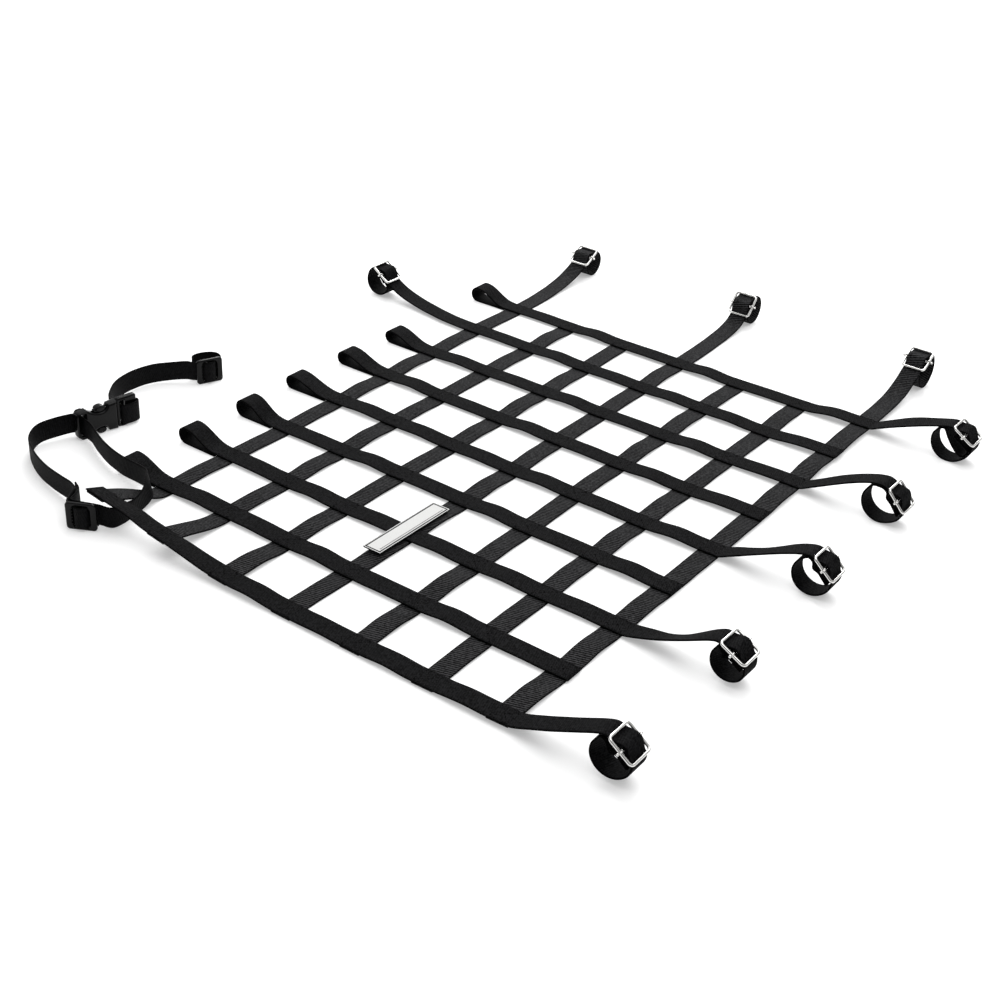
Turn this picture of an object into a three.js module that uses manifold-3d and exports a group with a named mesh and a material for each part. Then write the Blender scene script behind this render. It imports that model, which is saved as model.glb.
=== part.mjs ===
// A ribbon window net for a cage or car side: nine long webbing straps sewn across seven cross straps,
// sewn loops along the left edge, wire slides on the free tails and a quick-release side strap.
// Millimetres. X runs along the long straps towards the slides, Y along the cross straps towards the
// back, Z up. The origin is on the floor under the crossing of the middle long and middle cross strap.

import * as THREE from 'three';
import { mergeVertices } from 'three/addons/utils/BufferGeometryUtils.js';
import Module from 'manifold-3d';

const wasm = await Module();
wasm.setup();

// Webbing and grid
const STRAP_WIDTH = 20;
const STRAP_THICK = 1.5;
const PIECE_GAP = 0.3;
const PITCH_X = 70;
const PITCH_Y = 74;
const LONG_COUNT = 9;
const CROSS_COUNT = 7;
const MID_LONG = 5;
const MID_CROSS = 4;
const HALF = STRAP_WIDTH / 2;
const LAYER = STRAP_THICK + PIECE_GAP;
const ZONE = HALF + 0.6;
const TUCK = HALF - 1.5;
const EDGE_X = PITCH_X * (CROSS_COUNT - MID_CROSS);
const EDGE_Y = PITCH_Y * (LONG_COUNT - MID_LONG);

// Waves of the net as it lies, and the front left corner that rides up on the side strap
const LIFT = 0.8;
const ARCH = 1.7;
const DRIFT = 0.9;
const CORNER_LIFT = 22.5;
const CORNER_SLOPE = 0.35;
const CORNER_REACH = 2.4;
const CORNER_POWER = 1.2;
const FRONT_RISE = 2;
const EDGE_RISE = 3.4;
const EDGE_POWER = 1.6;

// Sewn loops on the left: long strap, reach past the outer cross strap's edge, height
const LOOPS = [
  { strap: 2, reach: 47.0, height: 15.0 },
  { strap: 3, reach: 47.7, height: 16.6 },
  { strap: 4, reach: 46.0, height: 18.0 },
  { strap: 5, reach: 51.5, height: 14.2 },
  { strap: 6, reach: 50.0, height: 14.4 },
  { strap: 7, reach: 47.3, height: 14.0 },
  { strap: 9, reach: 47.0, height: 16.4 },
];

// Tails with a wire slide, each in its strap's own upright plane, outward from the outer crossing:
// slide and rise place the slide's middle and face turns it (degrees above the outward direction);
// ring, height and radius place the webbing ring; near, climb and far shape the rise of the tail;
// drift is the sideways swing at the slide, twist the roll of the rising part in degrees, and sag how
// far the end hangs into the ring; flap and hang are the sewn end's reach past the bar and its drop
const TAILS = [
  {
    run: 'long', strap: 1, end: 1, slide: 103.2, rise: 32.3, face: 54,
    ring: 94, height: 20.8, radius: 16,
    near: 60, climb: 0.39, far: 8, drift: 0, twist: 0, sag: 6, flap: 12.5, hang: 4.8,
  },
  {
    run: 'long', strap: 3, end: 1, slide: 105.8, rise: 30.9, face: 62,
    ring: 102.1, height: 19.3, radius: 14.8,
    near: 48, climb: 0.26, far: 8, drift: 0, twist: -16, sag: 5, flap: 12.5, hang: 4.8,
  },
  {
    run: 'long', strap: 5, end: 1, slide: 105.3, rise: 30.6, face: 48,
    ring: 94.5, height: 18.7, radius: 16.6,
    near: 25, climb: 0.43, far: 9, drift: 0, twist: -9, sag: 2, flap: 12.5, hang: 4.8,
  },
  {
    run: 'long', strap: 7, end: 1, slide: 102.7, rise: 27.2, face: 42,
    ring: 88.3, height: 18.8, radius: 17.7,
    near: 22, climb: 0.42, far: 16, drift: 0, twist: 3, sag: 0, flap: 12.5, hang: 4.8,
  },
  {
    run: 'long', strap: 9, end: 1, slide: 102.5, rise: 30.5, face: 57,
    ring: 90.4, height: 18.8, radius: 18.3,
    near: 12, climb: 0.42, far: 7, drift: -0.8, twist: 6, sag: 0, flap: 12.5, hang: 4.8,
    deep: 28,
  },
  {
    run: 'long', strap: 8, end: -1, slide: 135, rise: 27.7, face: 125,
    ring: 141.1, height: 17.1, radius: 14.7,
    near: 76, climb: 0, far: 22, drift: 12.8, twist: 0, sag: 3, flap: 9, hang: 1.5,
  },
  {
    run: 'cross', strap: 1, end: 1, slide: 135, rise: 24.7, face: 120,
    ring: 144.7, height: 14.7, radius: 13.5,
    near: 72, climb: 0, far: 22, drift: -4.6, twist: 0, sag: 2, flap: 9, hang: 1.5,
  },
  {
    run: 'cross', strap: 4, end: 1, slide: 137.4, rise: 24.2, face: 138,
    ring: 148.4, height: 16.5, radius: 14.9,
    near: 76, climb: 0, far: 20, drift: -4.4, twist: 0, sag: 2, flap: 9, hang: 1.5,
  },
  {
    run: 'cross', strap: 7, end: 1, slide: 119.2, rise: 32, face: 120,
    ring: 126.7, height: 17.8, radius: 16.8,
    near: 66, climb: 0, far: 34, drift: -0.9, twist: 0, sag: 3, flap: 9, hang: 1.5,
  },
];
const TAIL_STEPS = 8;
const THREAD_STEPS = 10;
const RING_STEP = 13;
const RING_SETTLE = 65;
const UNDER_GAP = STRAP_THICK + PIECE_GAP + 0.2;
const UNDER_SPACING = 3;
const SAG_LEAN = 1.6;
const HUNG_SPACING = 4.5;
const DEEP_SHIFT = 9;
const DEEP_STEPS = 8;

// Wire slide: frame of bent wire with a bar that slides on its sides and ends in small knobs; the strap
// bulges over the bar, and its sewn end hangs below the bar as a flap (shares of its reach and drop)
const WIRE = 1.2;
const SLIDE_HALF_LENGTH = 12.1;
const SLIDE_HALF_WIDTH = 12;
const SLIDE_CORNER = 4.2;
const BAR_RADIUS = 1.1;
const EYE_INNER = 1.8;
const EYE_OUTER = 2.5;
const EYE_LENGTH = 3.2;
const KNOB = { radius: 1.2, from: 2.1, to: 4 };
const BAR_CLEAR = WIRE + PIECE_GAP + STRAP_THICK / 2 + 0.2;
const END_CLEAR = EYE_OUTER + PIECE_GAP + STRAP_THICK / 2 + 0.2;
const BULGE = 3.8;
const BULGE_POWER = 2;
const FLAP = [{ reach: 0, drop: 0.8 }, { reach: 0.5, drop: 0.88 }, { reach: 1, drop: 1 }];

// Plastic strap glide: a plate with two slots
const GLIDE_LENGTH = 26.6;
const GLIDE_HEIGHT = 25.6;
const GLIDE_THICK = 3.2;
const GLIDE_BAR = 3.6;
const GLIDE_SLOT = 6.2;
const GLIDE_SLOT_HEIGHT = 20.9;
const GLIDE_EDGE = 0.6;
const GLIDE_SPAN = (GLIDE_LENGTH + GLIDE_BAR) / 4 + GLIDE_SLOT / 2;
const GLIDE_WEAVE = [
  { share: 0, v: 3.9 },
  { share: 0.32, v: 3.2 },
  { share: 0.5, v: 0.6 },
  { share: 0.66, v: -2.8 },
  { share: 1, v: -3.2 },
];
const FRONT_GLIDE = { x: -214.6, y: -317.2, turn: Math.atan2(13, 24) };
const BACK_GLIDE = { x: -334.7, y: -51.8, turn: Math.atan2(24, 10) };
const HARDWARE_MID = GLIDE_HEIGHT / 2;

// Side-release buckle, standing on edge; its axis runs from the socket's slot to the plug's bar
const BUCKLE = { x: -339.5, y: -216, turn: Math.atan2(66, 12) };
const BUCKLE_HEIGHT = 29.6;
const SOCKET_HEIGHT = 28.4;
const SOCKET_LENGTH = 41.5;
const SOCKET_THICK = 9.4;
const SOCKET_SLOT = { from: 3, to: 8.2, height: 23.4 };
const NOTCH = { from: 10, low: 25, to: 32.5, depth: 6.6 };
const BUTTON = { at: 24.5, half: 4.9, rise: 3, thick: 7.4, out: 1.6 };
const ARM = { from: 18, inset: 3.4, height: 2.6, thick: 4.4 };
const PLUG = { from: SOCKET_LENGTH + PIECE_GAP, to: 62.6, thick: 5.6 };
const PLUG_SLOT = { from: 45.2, to: 51, low: 1.8, high: 25.8 };
const PLUG_BAR_THICK = 3.6;

// Label patch, centred near the third long strap and the middle cross strap
const LABEL = { x: -4.5, y: -144.5, width: 19, length: 94, thick: 1.2, corner: 1.2 };

const WEBBING = { color: 0x141414, roughness: 0.85, metalness: 0 };
const CROSS_WEBBING = { color: 0x1d1d1e, roughness: 0.8, metalness: 0 };
const NICKEL = { color: 0xd6d4cf, roughness: 0.22, metalness: 1 };
const PLASTIC = { color: 0x1c1d1f, roughness: 0.42, metalness: 0 };
const PATCH = { color: 0xe9e9e7, roughness: 0.7, metalness: 0 };

const net = new THREE.Group();
const radians = THREE.MathUtils.degToRad;
const longY = (i) => (i - MID_LONG) * PITCH_Y;
const crossX = (j) => (j - MID_CROSS) * PITCH_X;
const vector = (x, y, z) => new THREE.Vector3(x, y, z);

function addMesh(name, geometry, look) {
  const mesh = new THREE.Mesh(geometry, new THREE.MeshStandardMaterial(look));
  mesh.name = name;
  net.add(mesh);
  return mesh;
}

// Height of a crossing above the floor: flat patches that touch it, soft rises between them
function cornerShare(j) {
  return Math.max(0, (CORNER_REACH + 1 - j) / CORNER_REACH) ** CORNER_POWER;
}

function lift(i, j) {
  const last = j === CROSS_COUNT;
  if (i === 1) return CORNER_LIFT * cornerShare(j) + (last ? FRONT_RISE : 0);
  if (last) return EDGE_RISE * ((i - 1) / (LONG_COUNT - 1)) ** EDGE_POWER;
  return Math.max(0, LIFT * Math.sin(2.3 * i + 1.7 * j));
}

const cornerSlope = (i, j) => (i === 1 ? CORNER_SLOPE * cornerShare(j) : 0);
const archAt = (i, j) => ARCH * (0.55 + 0.45 * Math.sin(1.3 * i + 2.9 * j));

// Slope of the first long strap along X where it crosses, so that it runs straight down from the corner
function fallAt(i, j) {
  if (i !== 1) return 0;
  const before = Math.max(1, j - 1);
  const after = Math.min(CROSS_COUNT, j + 1);
  return (lift(1, after) - lift(1, before)) / (PITCH_X * (after - before));
}

// Height of a cross strap's underside where it crosses, with its lower edge off the floor
const restAt = (i, j) => lift(i, j) + HALF * Math.abs(fallAt(i, j));

// Sideways place of a strap off its grid line, s along the strap
function sideways(run, strap, s) {
  const edge = run === 'long' ? EDGE_X : EDGE_Y;
  const phase = 1.9 * (run === 'long' ? strap : strap + CROSS_COUNT);
  const wander = run === 'long' && strap === 1 ? 0 : DRIFT * Math.sin(s / 83 + phase);
  const tail = TAILS.find((t) => t.run === run && t.strap === strap && t.end * s > 0);
  const past = Math.max(0, Math.abs(s) - edge - ZONE);
  if (!tail) return wander;
  return wander + tail.drift * THREE.MathUtils.smoothstep(past, 0, tail.slide - SLIDE_HALF_LENGTH - ZONE);
}

const slantAt = (run, strap, s) => sideways(run, strap, s + 0.5) - sideways(run, strap, s - 0.5);

function hermite(t, from, fromSlope, to, toSlope) {
  const a = 2 * t ** 3 - 3 * t ** 2 + 1;
  const b = t ** 3 - 2 * t ** 2 + t;
  const c = 3 * t ** 2 - 2 * t ** 3;
  const d = t ** 3 - t ** 2;
  return a * from + b * fromSlope + c * to + d * toSlope;
}

// A strap's run over its crossings, as { s, z, tilt } along the strap: level (or sloping) at each
// crossing, with an arch in between
function gridRun(crossings, bottom, slope, tilt, arch, between) {
  const run = [];
  crossings.forEach((at, k) => {
    const here = bottom(k);
    run.push({ s: at - ZONE, z: here - slope(k) * ZONE, tilt: tilt(k) });
    run.push({ s: at + ZONE, z: here + slope(k) * ZONE, tilt: tilt(k) });
    if (k === crossings.length - 1) return;
    const span = crossings[k + 1] - at - 2 * ZONE;
    const start = here + slope(k) * ZONE;
    const finish = bottom(k + 1) - slope(k + 1) * ZONE;
    for (let n = 1; n <= between; n += 1) {
      const t = n / (between + 1);
      const rise = arch(k) * Math.sin(Math.PI * t) ** 2;
      const z = hermite(t, start, slope(k) * span, finish, slope(k + 1) * span) + rise;
      run.push({ s: at + ZONE + span * t, z, tilt: THREE.MathUtils.lerp(tilt(k), tilt(k + 1), t) });
    }
  });
  return run;
}

// The slide in its tail's plane: a runs along the strap, o out of the slide's face
function slidePlace(tail) {
  const face = radians(tail.face);
  return {
    middle: { s: tail.slide, z: tail.rise },
    along: { s: Math.sin(face), z: -Math.cos(face) },
    out: { s: Math.cos(face), z: Math.sin(face) },
  };
}

function inSlide(place, a, o) {
  return {
    s: place.middle.s + a * place.along.s + o * place.out.s,
    z: place.middle.z + a * place.along.z + o * place.out.z,
  };
}

// A row of points moved to the right of its direction
function beside(points, by) {
  return points.map((p, k) => {
    const before = points[Math.max(0, k - 1)];
    const after = points[Math.min(points.length - 1, k + 1)];
    const length = Math.hypot(after.s - before.s, after.z - before.z);
    return { s: p.s + (by * (after.z - before.z)) / length, z: p.z - (by * (after.s - before.s)) / length };
  });
}

function heightOn(points, s) {
  if (s > points[points.length - 1].s) return Infinity;
  const k = Math.max(1, points.findIndex((p) => p.s >= s));
  const from = points[k - 1];
  const to = points[k];
  return from.z + ((to.z - from.z) * (s - from.s)) / (to.s - from.s);
}

// A row of points placed evenly along its length
function evenly(points, spacing) {
  const path = new THREE.CurvePath();
  points.slice(1).forEach((p, k) => {
    const from = new THREE.Vector2(points[k].s, points[k].z);
    path.add(new THREE.LineCurve(from, new THREE.Vector2(p.s, p.z)));
  });
  const count = Math.max(2, Math.round(path.getLength() / spacing));
  return path.getSpacedPoints(count).map((p) => ({ s: p.x, z: p.y }));
}

// The ring: from the slide's outer end down and round, until it meets the underside of the tail or
// comes up under the slide
function ringRun(tail, place, from, underside) {
  const under = -(BAR_CLEAR + UNDER_GAP + 1);
  const start = Math.atan2(from.z - tail.height, from.s - tail.ring);
  const startRadius = Math.hypot(from.z - tail.height, from.s - tail.ring);
  const run = [];
  for (let turned = RING_STEP; turned < 340; turned += RING_STEP) {
    const settle = THREE.MathUtils.smoothstep(turned, 0, RING_SETTLE);
    const radius = THREE.MathUtils.lerp(startRadius, tail.radius, settle);
    const angle = start - radians(turned);
    const s = tail.ring + radius * Math.cos(angle);
    const z = tail.height + radius * Math.sin(angle);
    const o = (s - place.middle.s) * place.out.s + (z - place.middle.z) * place.out.z;
    const met = z > heightOn(underside, s) - UNDER_SPACING / 2 || o > under;
    if (turned > 120 && met) return run;
    run.push({ s, z: Math.max(z, STRAP_THICK / 2) });
  }
  return run;
}

// An end that hangs deep into its ring and comes up to the bar from the far side
function deepFold(from, end, depth) {
  const curve = new THREE.QuadraticBezierCurve(
    new THREE.Vector2(from.s, from.z),
    new THREE.Vector2((from.s + end[0].s) / 2 + DEEP_SHIFT, (from.z + end[0].z) / 2 - depth),
    new THREE.Vector2(end[0].s, end[0].z),
  );
  const hung = curve.getPoints(DEEP_STEPS).map((p) => ({ s: p.x, z: p.y }));
  return [...hung, ...end.slice(1)];
}

// The tail rises from the outer crossing, threads the slide over its bar, curls into a ring and comes
// back along its own underside to the bar. Points are { s, z } at the middle of the webbing.
function tailRun(tail, startZ) {
  const place = slidePlace(tail);
  const upper = inSlide(place, -SLIDE_HALF_LENGTH, -BAR_CLEAR);
  const curve = new THREE.CubicBezierCurve(
    new THREE.Vector2(ZONE, startZ),
    new THREE.Vector2(ZONE + tail.near, startZ + tail.near * tail.climb),
    new THREE.Vector2(upper.s - tail.far * place.along.s, upper.z - tail.far * place.along.z),
    new THREE.Vector2(upper.s, upper.z),
  );
  const rise = curve.getPoints(TAIL_STEPS).slice(1);
  const tailPoints = rise.map((p) => {
    const share = THREE.MathUtils.clamp((p.x - ZONE) / (tail.ring - 0.7 * tail.radius - ZONE), 0, 1);
    const tilt = radians(tail.twist) * Math.sin(Math.PI * share) ** 2;
    return { s: p.x, z: Math.max(p.y + HALF * Math.sin(tilt), STRAP_THICK / 2), tilt };
  });
  const thread = [];
  for (let n = 1; n <= THREAD_STEPS; n += 1) {
    const share = (2 * n) / THREAD_STEPS - 1;
    const over = Math.max(0, Math.cos((Math.PI / 2) * share)) ** BULGE_POWER;
    const o = (BAR_CLEAR + BULGE) * over - BAR_CLEAR;
    thread.push(inSlide(place, share * SLIDE_HALF_LENGTH, o));
  }
  const underside = beside(tailPoints, UNDER_GAP);
  const ring = ringRun(tail, place, thread[thread.length - 1], underside);
  const meet = ring[ring.length - 1];
  const back = underside.filter((p) => p.s > meet.s + UNDER_SPACING / 2);
  const end = FLAP.map(({ reach, drop }) => (
    inSlide(place, reach * tail.flap, -END_CLEAR - drop * tail.hang)
  ));
  const inner = inSlide(place, -SLIDE_HALF_LENGTH / 2, -END_CLEAR - 0.9 * tail.hang);
  if (tail.deep) {
    const [first, second] = evenly(back, HUNG_SPACING);
    const fold = deepFold(second, [...end.reverse(), inner], tail.deep);
    return [...tailPoints, ...thread, ...ring, first, ...fold];
  }
  back.push(inner);
  const hung = evenly(back, HUNG_SPACING).map((p, k, row) => {
    const share = (k + 1) / (row.length + 1);
    return { s: p.s, z: p.z - tail.sag * Math.sin(Math.PI * share ** SAG_LEAN) ** 2 };
  });
  return [...tailPoints, ...thread, ...ring, ...hung, ...end];
}

// The sewn loop at the left: a flat lower arm on the floor, a round end and an upper arm that comes
// down to the crossing. Points outward from the outer crossing, from the free end to the crossing.
function loopRun(loop, topZ) {
  const radius = (loop.height - STRAP_THICK) / 2;
  const floor = STRAP_THICK / 2;
  const middle = HALF + loop.reach - radius - STRAP_THICK / 2;
  const run = [{ s: HALF + 1.8, z: floor }, { s: HALF + 14, z: floor }];
  for (let n = 0; n <= 9; n += 1) {
    const angle = -Math.PI / 2 + (Math.PI * n) / 9;
    run.push({ s: middle + radius * Math.cos(angle), z: floor + radius + radius * Math.sin(angle) });
  }
  const upper = new THREE.CubicBezierCurve(
    new THREE.Vector2(middle, floor + 2 * radius),
    new THREE.Vector2(middle - 15, floor + 2 * radius),
    new THREE.Vector2(ZONE + 17, topZ + 0.4),
    new THREE.Vector2(ZONE, topZ),
  );
  upper.getPoints(6).slice(1, -1).forEach((p) => run.push({ s: p.x, z: p.y }));
  return run;
}

// A band of webbing lofted through stations { at, across }: four corners at each, closed ends
function band(stations, width = STRAP_WIDTH, thick = STRAP_THICK) {
  const positions = [];
  const index = [];
  stations.forEach((station, k) => {
    const before = stations[Math.max(0, k - 1)].at;
    const after = stations[Math.min(stations.length - 1, k + 1)].at;
    const into = station.at.clone().sub(before).normalize();
    const out = after.clone().sub(station.at).normalize();
    const along = into.add(out).normalize();
    const normal = along.clone().cross(station.across).normalize();
    [[-1, -1], [1, -1], [1, 1], [-1, 1]].forEach(([a, n]) => {
      const corner = station.at.clone()
        .addScaledVector(station.across, (a * width) / 2)
        .addScaledVector(normal, (n * thick) / 2);
      positions.push(corner.x, corner.y, corner.z);
    });
  });
  for (let k = 0; k < stations.length - 1; k += 1) {
    for (let c = 0; c < 4; c += 1) {
      const a = 4 * k + c;
      const b = 4 * k + ((c + 1) % 4);
      index.push(a, b, b + 4, a, b + 4, a + 4);
    }
  }
  const last = 4 * (stations.length - 1);
  index.push(0, 3, 2, 0, 2, 1, last, last + 1, last + 2, last, last + 2, last + 3);
  const geometry = new THREE.BufferGeometry();
  geometry.setAttribute('position', new THREE.Float32BufferAttribute(positions, 3));
  geometry.setIndex(index);
  return geometry;
}

const tailOf = (run, strap, end) => TAILS.find(
  (tail) => tail.run === run && tail.strap === strap && tail.end === end,
);

// Long straps lie on the cross straps
function longStrap(i) {
  const crossings = Array.from({ length: CROSS_COUNT }, (_, k) => crossX(k + 1));
  const ease = i === 1 ? PIECE_GAP / 2 : 0;
  const apart = (k) => LAYER * Math.hypot(1, cornerSlope(i, k + 1), fallAt(i, k + 1)) + ease;
  const middleZ = (k) => restAt(i, k + 1) + apart(k) + STRAP_THICK / 2;
  const run = gridRun(
    crossings,
    middleZ,
    (k) => fallAt(i, k + 1),
    (k) => -Math.atan(cornerSlope(i, k + 1)),
    (k) => archAt(i, k),
    2,
  );
  const loop = LOOPS.find((row) => row.strap === i);
  const leftTail = tailOf('long', i, -1);
  const rightTail = tailOf('long', i, 1);
  const outward = (end) => (p) => ({ s: end * (EDGE_X + p.s), z: p.z, tilt: p.tilt || 0 });
  let points = run;
  if (loop) {
    points = loopRun(loop, middleZ(0)).map(outward(-1)).concat(points);
  } else if (leftTail) {
    points = tailRun(leftTail, middleZ(0)).map(outward(-1)).reverse().concat(points);
  }
  if (rightTail) {
    points = points.concat(tailRun(rightTail, middleZ(CROSS_COUNT - 1)).map(outward(1)));
  }
  const stations = points.map((p) => ({
    at: vector(p.s, longY(i) + sideways('long', i, p.s), p.z),
    across: vector(-slantAt('long', i, p.s), Math.cos(p.tilt), Math.sin(p.tilt)).normalize(),
  }));
  addMesh(`long_strap_${i}`, band(stations), WEBBING);
}

// Cross straps lie on the floor under the long straps
function crossStrap(j) {
  const crossings = Array.from({ length: LONG_COUNT }, (_, k) => longY(k + 1));
  const middleZ = (k) => restAt(k + 1, j) + STRAP_THICK / 2;
  const run = gridRun(
    crossings,
    middleZ,
    (k) => -cornerSlope(k + 1, j),
    (k) => fallAt(k + 1, j),
    (k) => archAt(k + 4, j),
    2,
  );
  run[0].s = crossings[0] - TUCK;
  run[0].z = middleZ(0) + cornerSlope(1, j) * TUCK;
  const tail = tailOf('cross', j, 1);
  if (!tail) run[run.length - 1].s = EDGE_Y + TUCK;
  let points = run;
  if (tail) {
    const rise = tailRun(tail, middleZ(LONG_COUNT - 1));
    points = points.concat(rise.map((p) => ({ s: EDGE_Y + p.s, z: p.z })));
  }
  const stations = points.map((p) => ({
    at: vector(crossX(j) + sideways('cross', j, p.s), p.s, p.z),
    across: vector(-1, slantAt('cross', j, p.s), -(p.tilt || 0)).normalize(),
  }));
  addMesh(`cross_strap_${j}`, band(stations), CROSS_WEBBING);
}

function roundedRectangle(path, halfX, halfY, corner, x = 0, y = 0) {
  path.moveTo(x + halfX, y + halfY - corner);
  path.absarc(x + halfX - corner, y + halfY - corner, corner, 0, Math.PI / 2);
  path.absarc(x - halfX + corner, y + halfY - corner, corner, Math.PI / 2, Math.PI);
  path.absarc(x - halfX + corner, y - halfY + corner, corner, Math.PI, 1.5 * Math.PI);
  path.absarc(x + halfX - corner, y - halfY + corner, corner, 1.5 * Math.PI, 2 * Math.PI);
  return path;
}

function plate(shape, thick, edge, curveSegments) {
  const geometry = new THREE.ExtrudeGeometry(shape, {
    depth: thick - 2 * edge,
    curveSegments,
    bevelEnabled: true,
    bevelThickness: edge,
    bevelSize: edge,
    bevelOffset: -edge,
    bevelSegments: 1,
  });
  return geometry.translate(0, 0, edge - thick / 2);
}

function solid(geometry) {
  const bare = geometry.index ? geometry.toNonIndexed() : geometry.clone();
  bare.deleteAttribute('normal');
  bare.deleteAttribute('uv');
  const merged = mergeVertices(bare, 1e-4);
  return new wasm.Manifold(new wasm.Mesh({
    numProp: 3,
    vertProperties: Float32Array.from(merged.attributes.position.array),
    triVerts: Uint32Array.from(merged.index.array),
  }));
}

function geometryOf(body) {
  const mesh = body.getMesh();
  const geometry = new THREE.BufferGeometry();
  geometry.setAttribute('position', new THREE.Float32BufferAttribute(mesh.vertProperties, 3));
  geometry.setIndex(new THREE.BufferAttribute(mesh.triVerts, 1));
  return geometry;
}

// Wire slide in its own frame: X along the strap, Y across it, Z out of its face
function slideFrameGeometry() {
  const flat = 2 * WIRE * Math.tan(Math.PI / 8);
  const outline = roundedRectangle(
    new THREE.Shape(),
    SLIDE_HALF_LENGTH + WIRE,
    SLIDE_HALF_WIDTH + WIRE,
    SLIDE_CORNER,
  );
  outline.holes.push(roundedRectangle(
    new THREE.Path(),
    SLIDE_HALF_LENGTH - WIRE,
    SLIDE_HALF_WIDTH - WIRE,
    SLIDE_CORNER - 2 * WIRE,
  ));
  return plate(outline, 2 * WIRE, WIRE - flat / 2, 1);
}

function slideBarGeometry() {
  const half = EYE_LENGTH / 2;
  const section = [
    [EYE_INNER, -half], [EYE_OUTER, -half], [EYE_OUTER, half], [EYE_INNER, half], [EYE_INNER, -half],
  ];
  const profile = section.map(([r, h]) => new THREE.Vector2(r, h));
  const bar = new THREE.CylinderGeometry(
    BAR_RADIUS,
    BAR_RADIUS,
    2 * (SLIDE_HALF_WIDTH - (EYE_INNER + EYE_OUTER) / 2),
    6,
  );
  let body = solid(bar);
  [-1, 1].forEach((side) => {
    const eye = new THREE.LatheGeometry(profile, 6).rotateZ(Math.PI / 2);
    body = body.add(solid(eye.translate(0, side * SLIDE_HALF_WIDTH, 0)));
    const knob = new THREE.CylinderGeometry(KNOB.radius, KNOB.radius, KNOB.to - KNOB.from, 6);
    const out = SLIDE_HALF_WIDTH + (KNOB.from + KNOB.to) / 2;
    body = body.add(solid(knob.translate(0, side * out, 0)));
  });
  return geometryOf(body);
}

function slide(tail) {
  const { s, z } = slidePlace(tail).middle;
  const face = radians(tail.face);
  const edge = tail.run === 'long' ? EDGE_X : EDGE_Y;
  const at = tail.end * (edge + s);
  const side = sideways(tail.run, tail.strap, at);
  const slant = slantAt(tail.run, tail.strap, at);
  const outward = tail.run === 'long' ? vector(tail.end, tail.end * slant, 0) : vector(slant, 1, 0);
  outward.normalize();
  const up = vector(0, 0, 1);
  const along = outward.clone().multiplyScalar(Math.sin(face)).addScaledVector(up, -Math.cos(face));
  const out = outward.clone().multiplyScalar(Math.cos(face)).addScaledVector(up, Math.sin(face));
  const matrix = new THREE.Matrix4().makeBasis(along, out.clone().cross(along), out);
  if (tail.run === 'long') {
    matrix.setPosition(at, longY(tail.strap) + side, z);
  } else {
    matrix.setPosition(crossX(tail.strap) + side, at, z);
  }
  const label = `${tail.run}_${tail.strap}`;
  addMesh(`slide_frame_${label}`, slideFrameGeometry(), NICKEL).applyMatrix4(matrix);
  addMesh(`slide_bar_${label}`, slideBarGeometry(), NICKEL).applyMatrix4(matrix);
}

// Pieces that stand on edge: local u along the piece, v out of its front, on the floor plan
function onPlan(place, u, v) {
  const along = new THREE.Vector2(Math.cos(place.turn), Math.sin(place.turn));
  const front = new THREE.Vector2(Math.sin(place.turn), -Math.cos(place.turn));
  return { x: place.x + u * along.x + v * front.x, y: place.y + u * along.y + v * front.y };
}

function standing(place, height) {
  const along = vector(Math.cos(place.turn), Math.sin(place.turn), 0);
  const front = vector(Math.sin(place.turn), -Math.cos(place.turn), 0);
  const matrix = new THREE.Matrix4().makeBasis(along, vector(0, 0, 1), front);
  return matrix.setPosition(place.x, place.y, height);
}

function glide(name, place) {
  const outline = roundedRectangle(new THREE.Shape(), GLIDE_LENGTH / 2, GLIDE_HEIGHT / 2, 3);
  const slotAt = (GLIDE_BAR + GLIDE_SLOT) / 2;
  [-slotAt, slotAt].forEach((u) => {
    const slot = new THREE.Path();
    outline.holes.push(roundedRectangle(slot, GLIDE_SLOT / 2, GLIDE_SLOT_HEIGHT / 2, 1, u));
  });
  addMesh(name, plate(outline, GLIDE_THICK, GLIDE_EDGE, 1), PLASTIC)
    .applyMatrix4(standing(place, HARDWARE_MID));
}

function box(lengthX, lengthY, lengthZ, x, y, z) {
  return solid(new THREE.BoxGeometry(lengthX, lengthY, lengthZ).translate(x, y, z));
}

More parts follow.
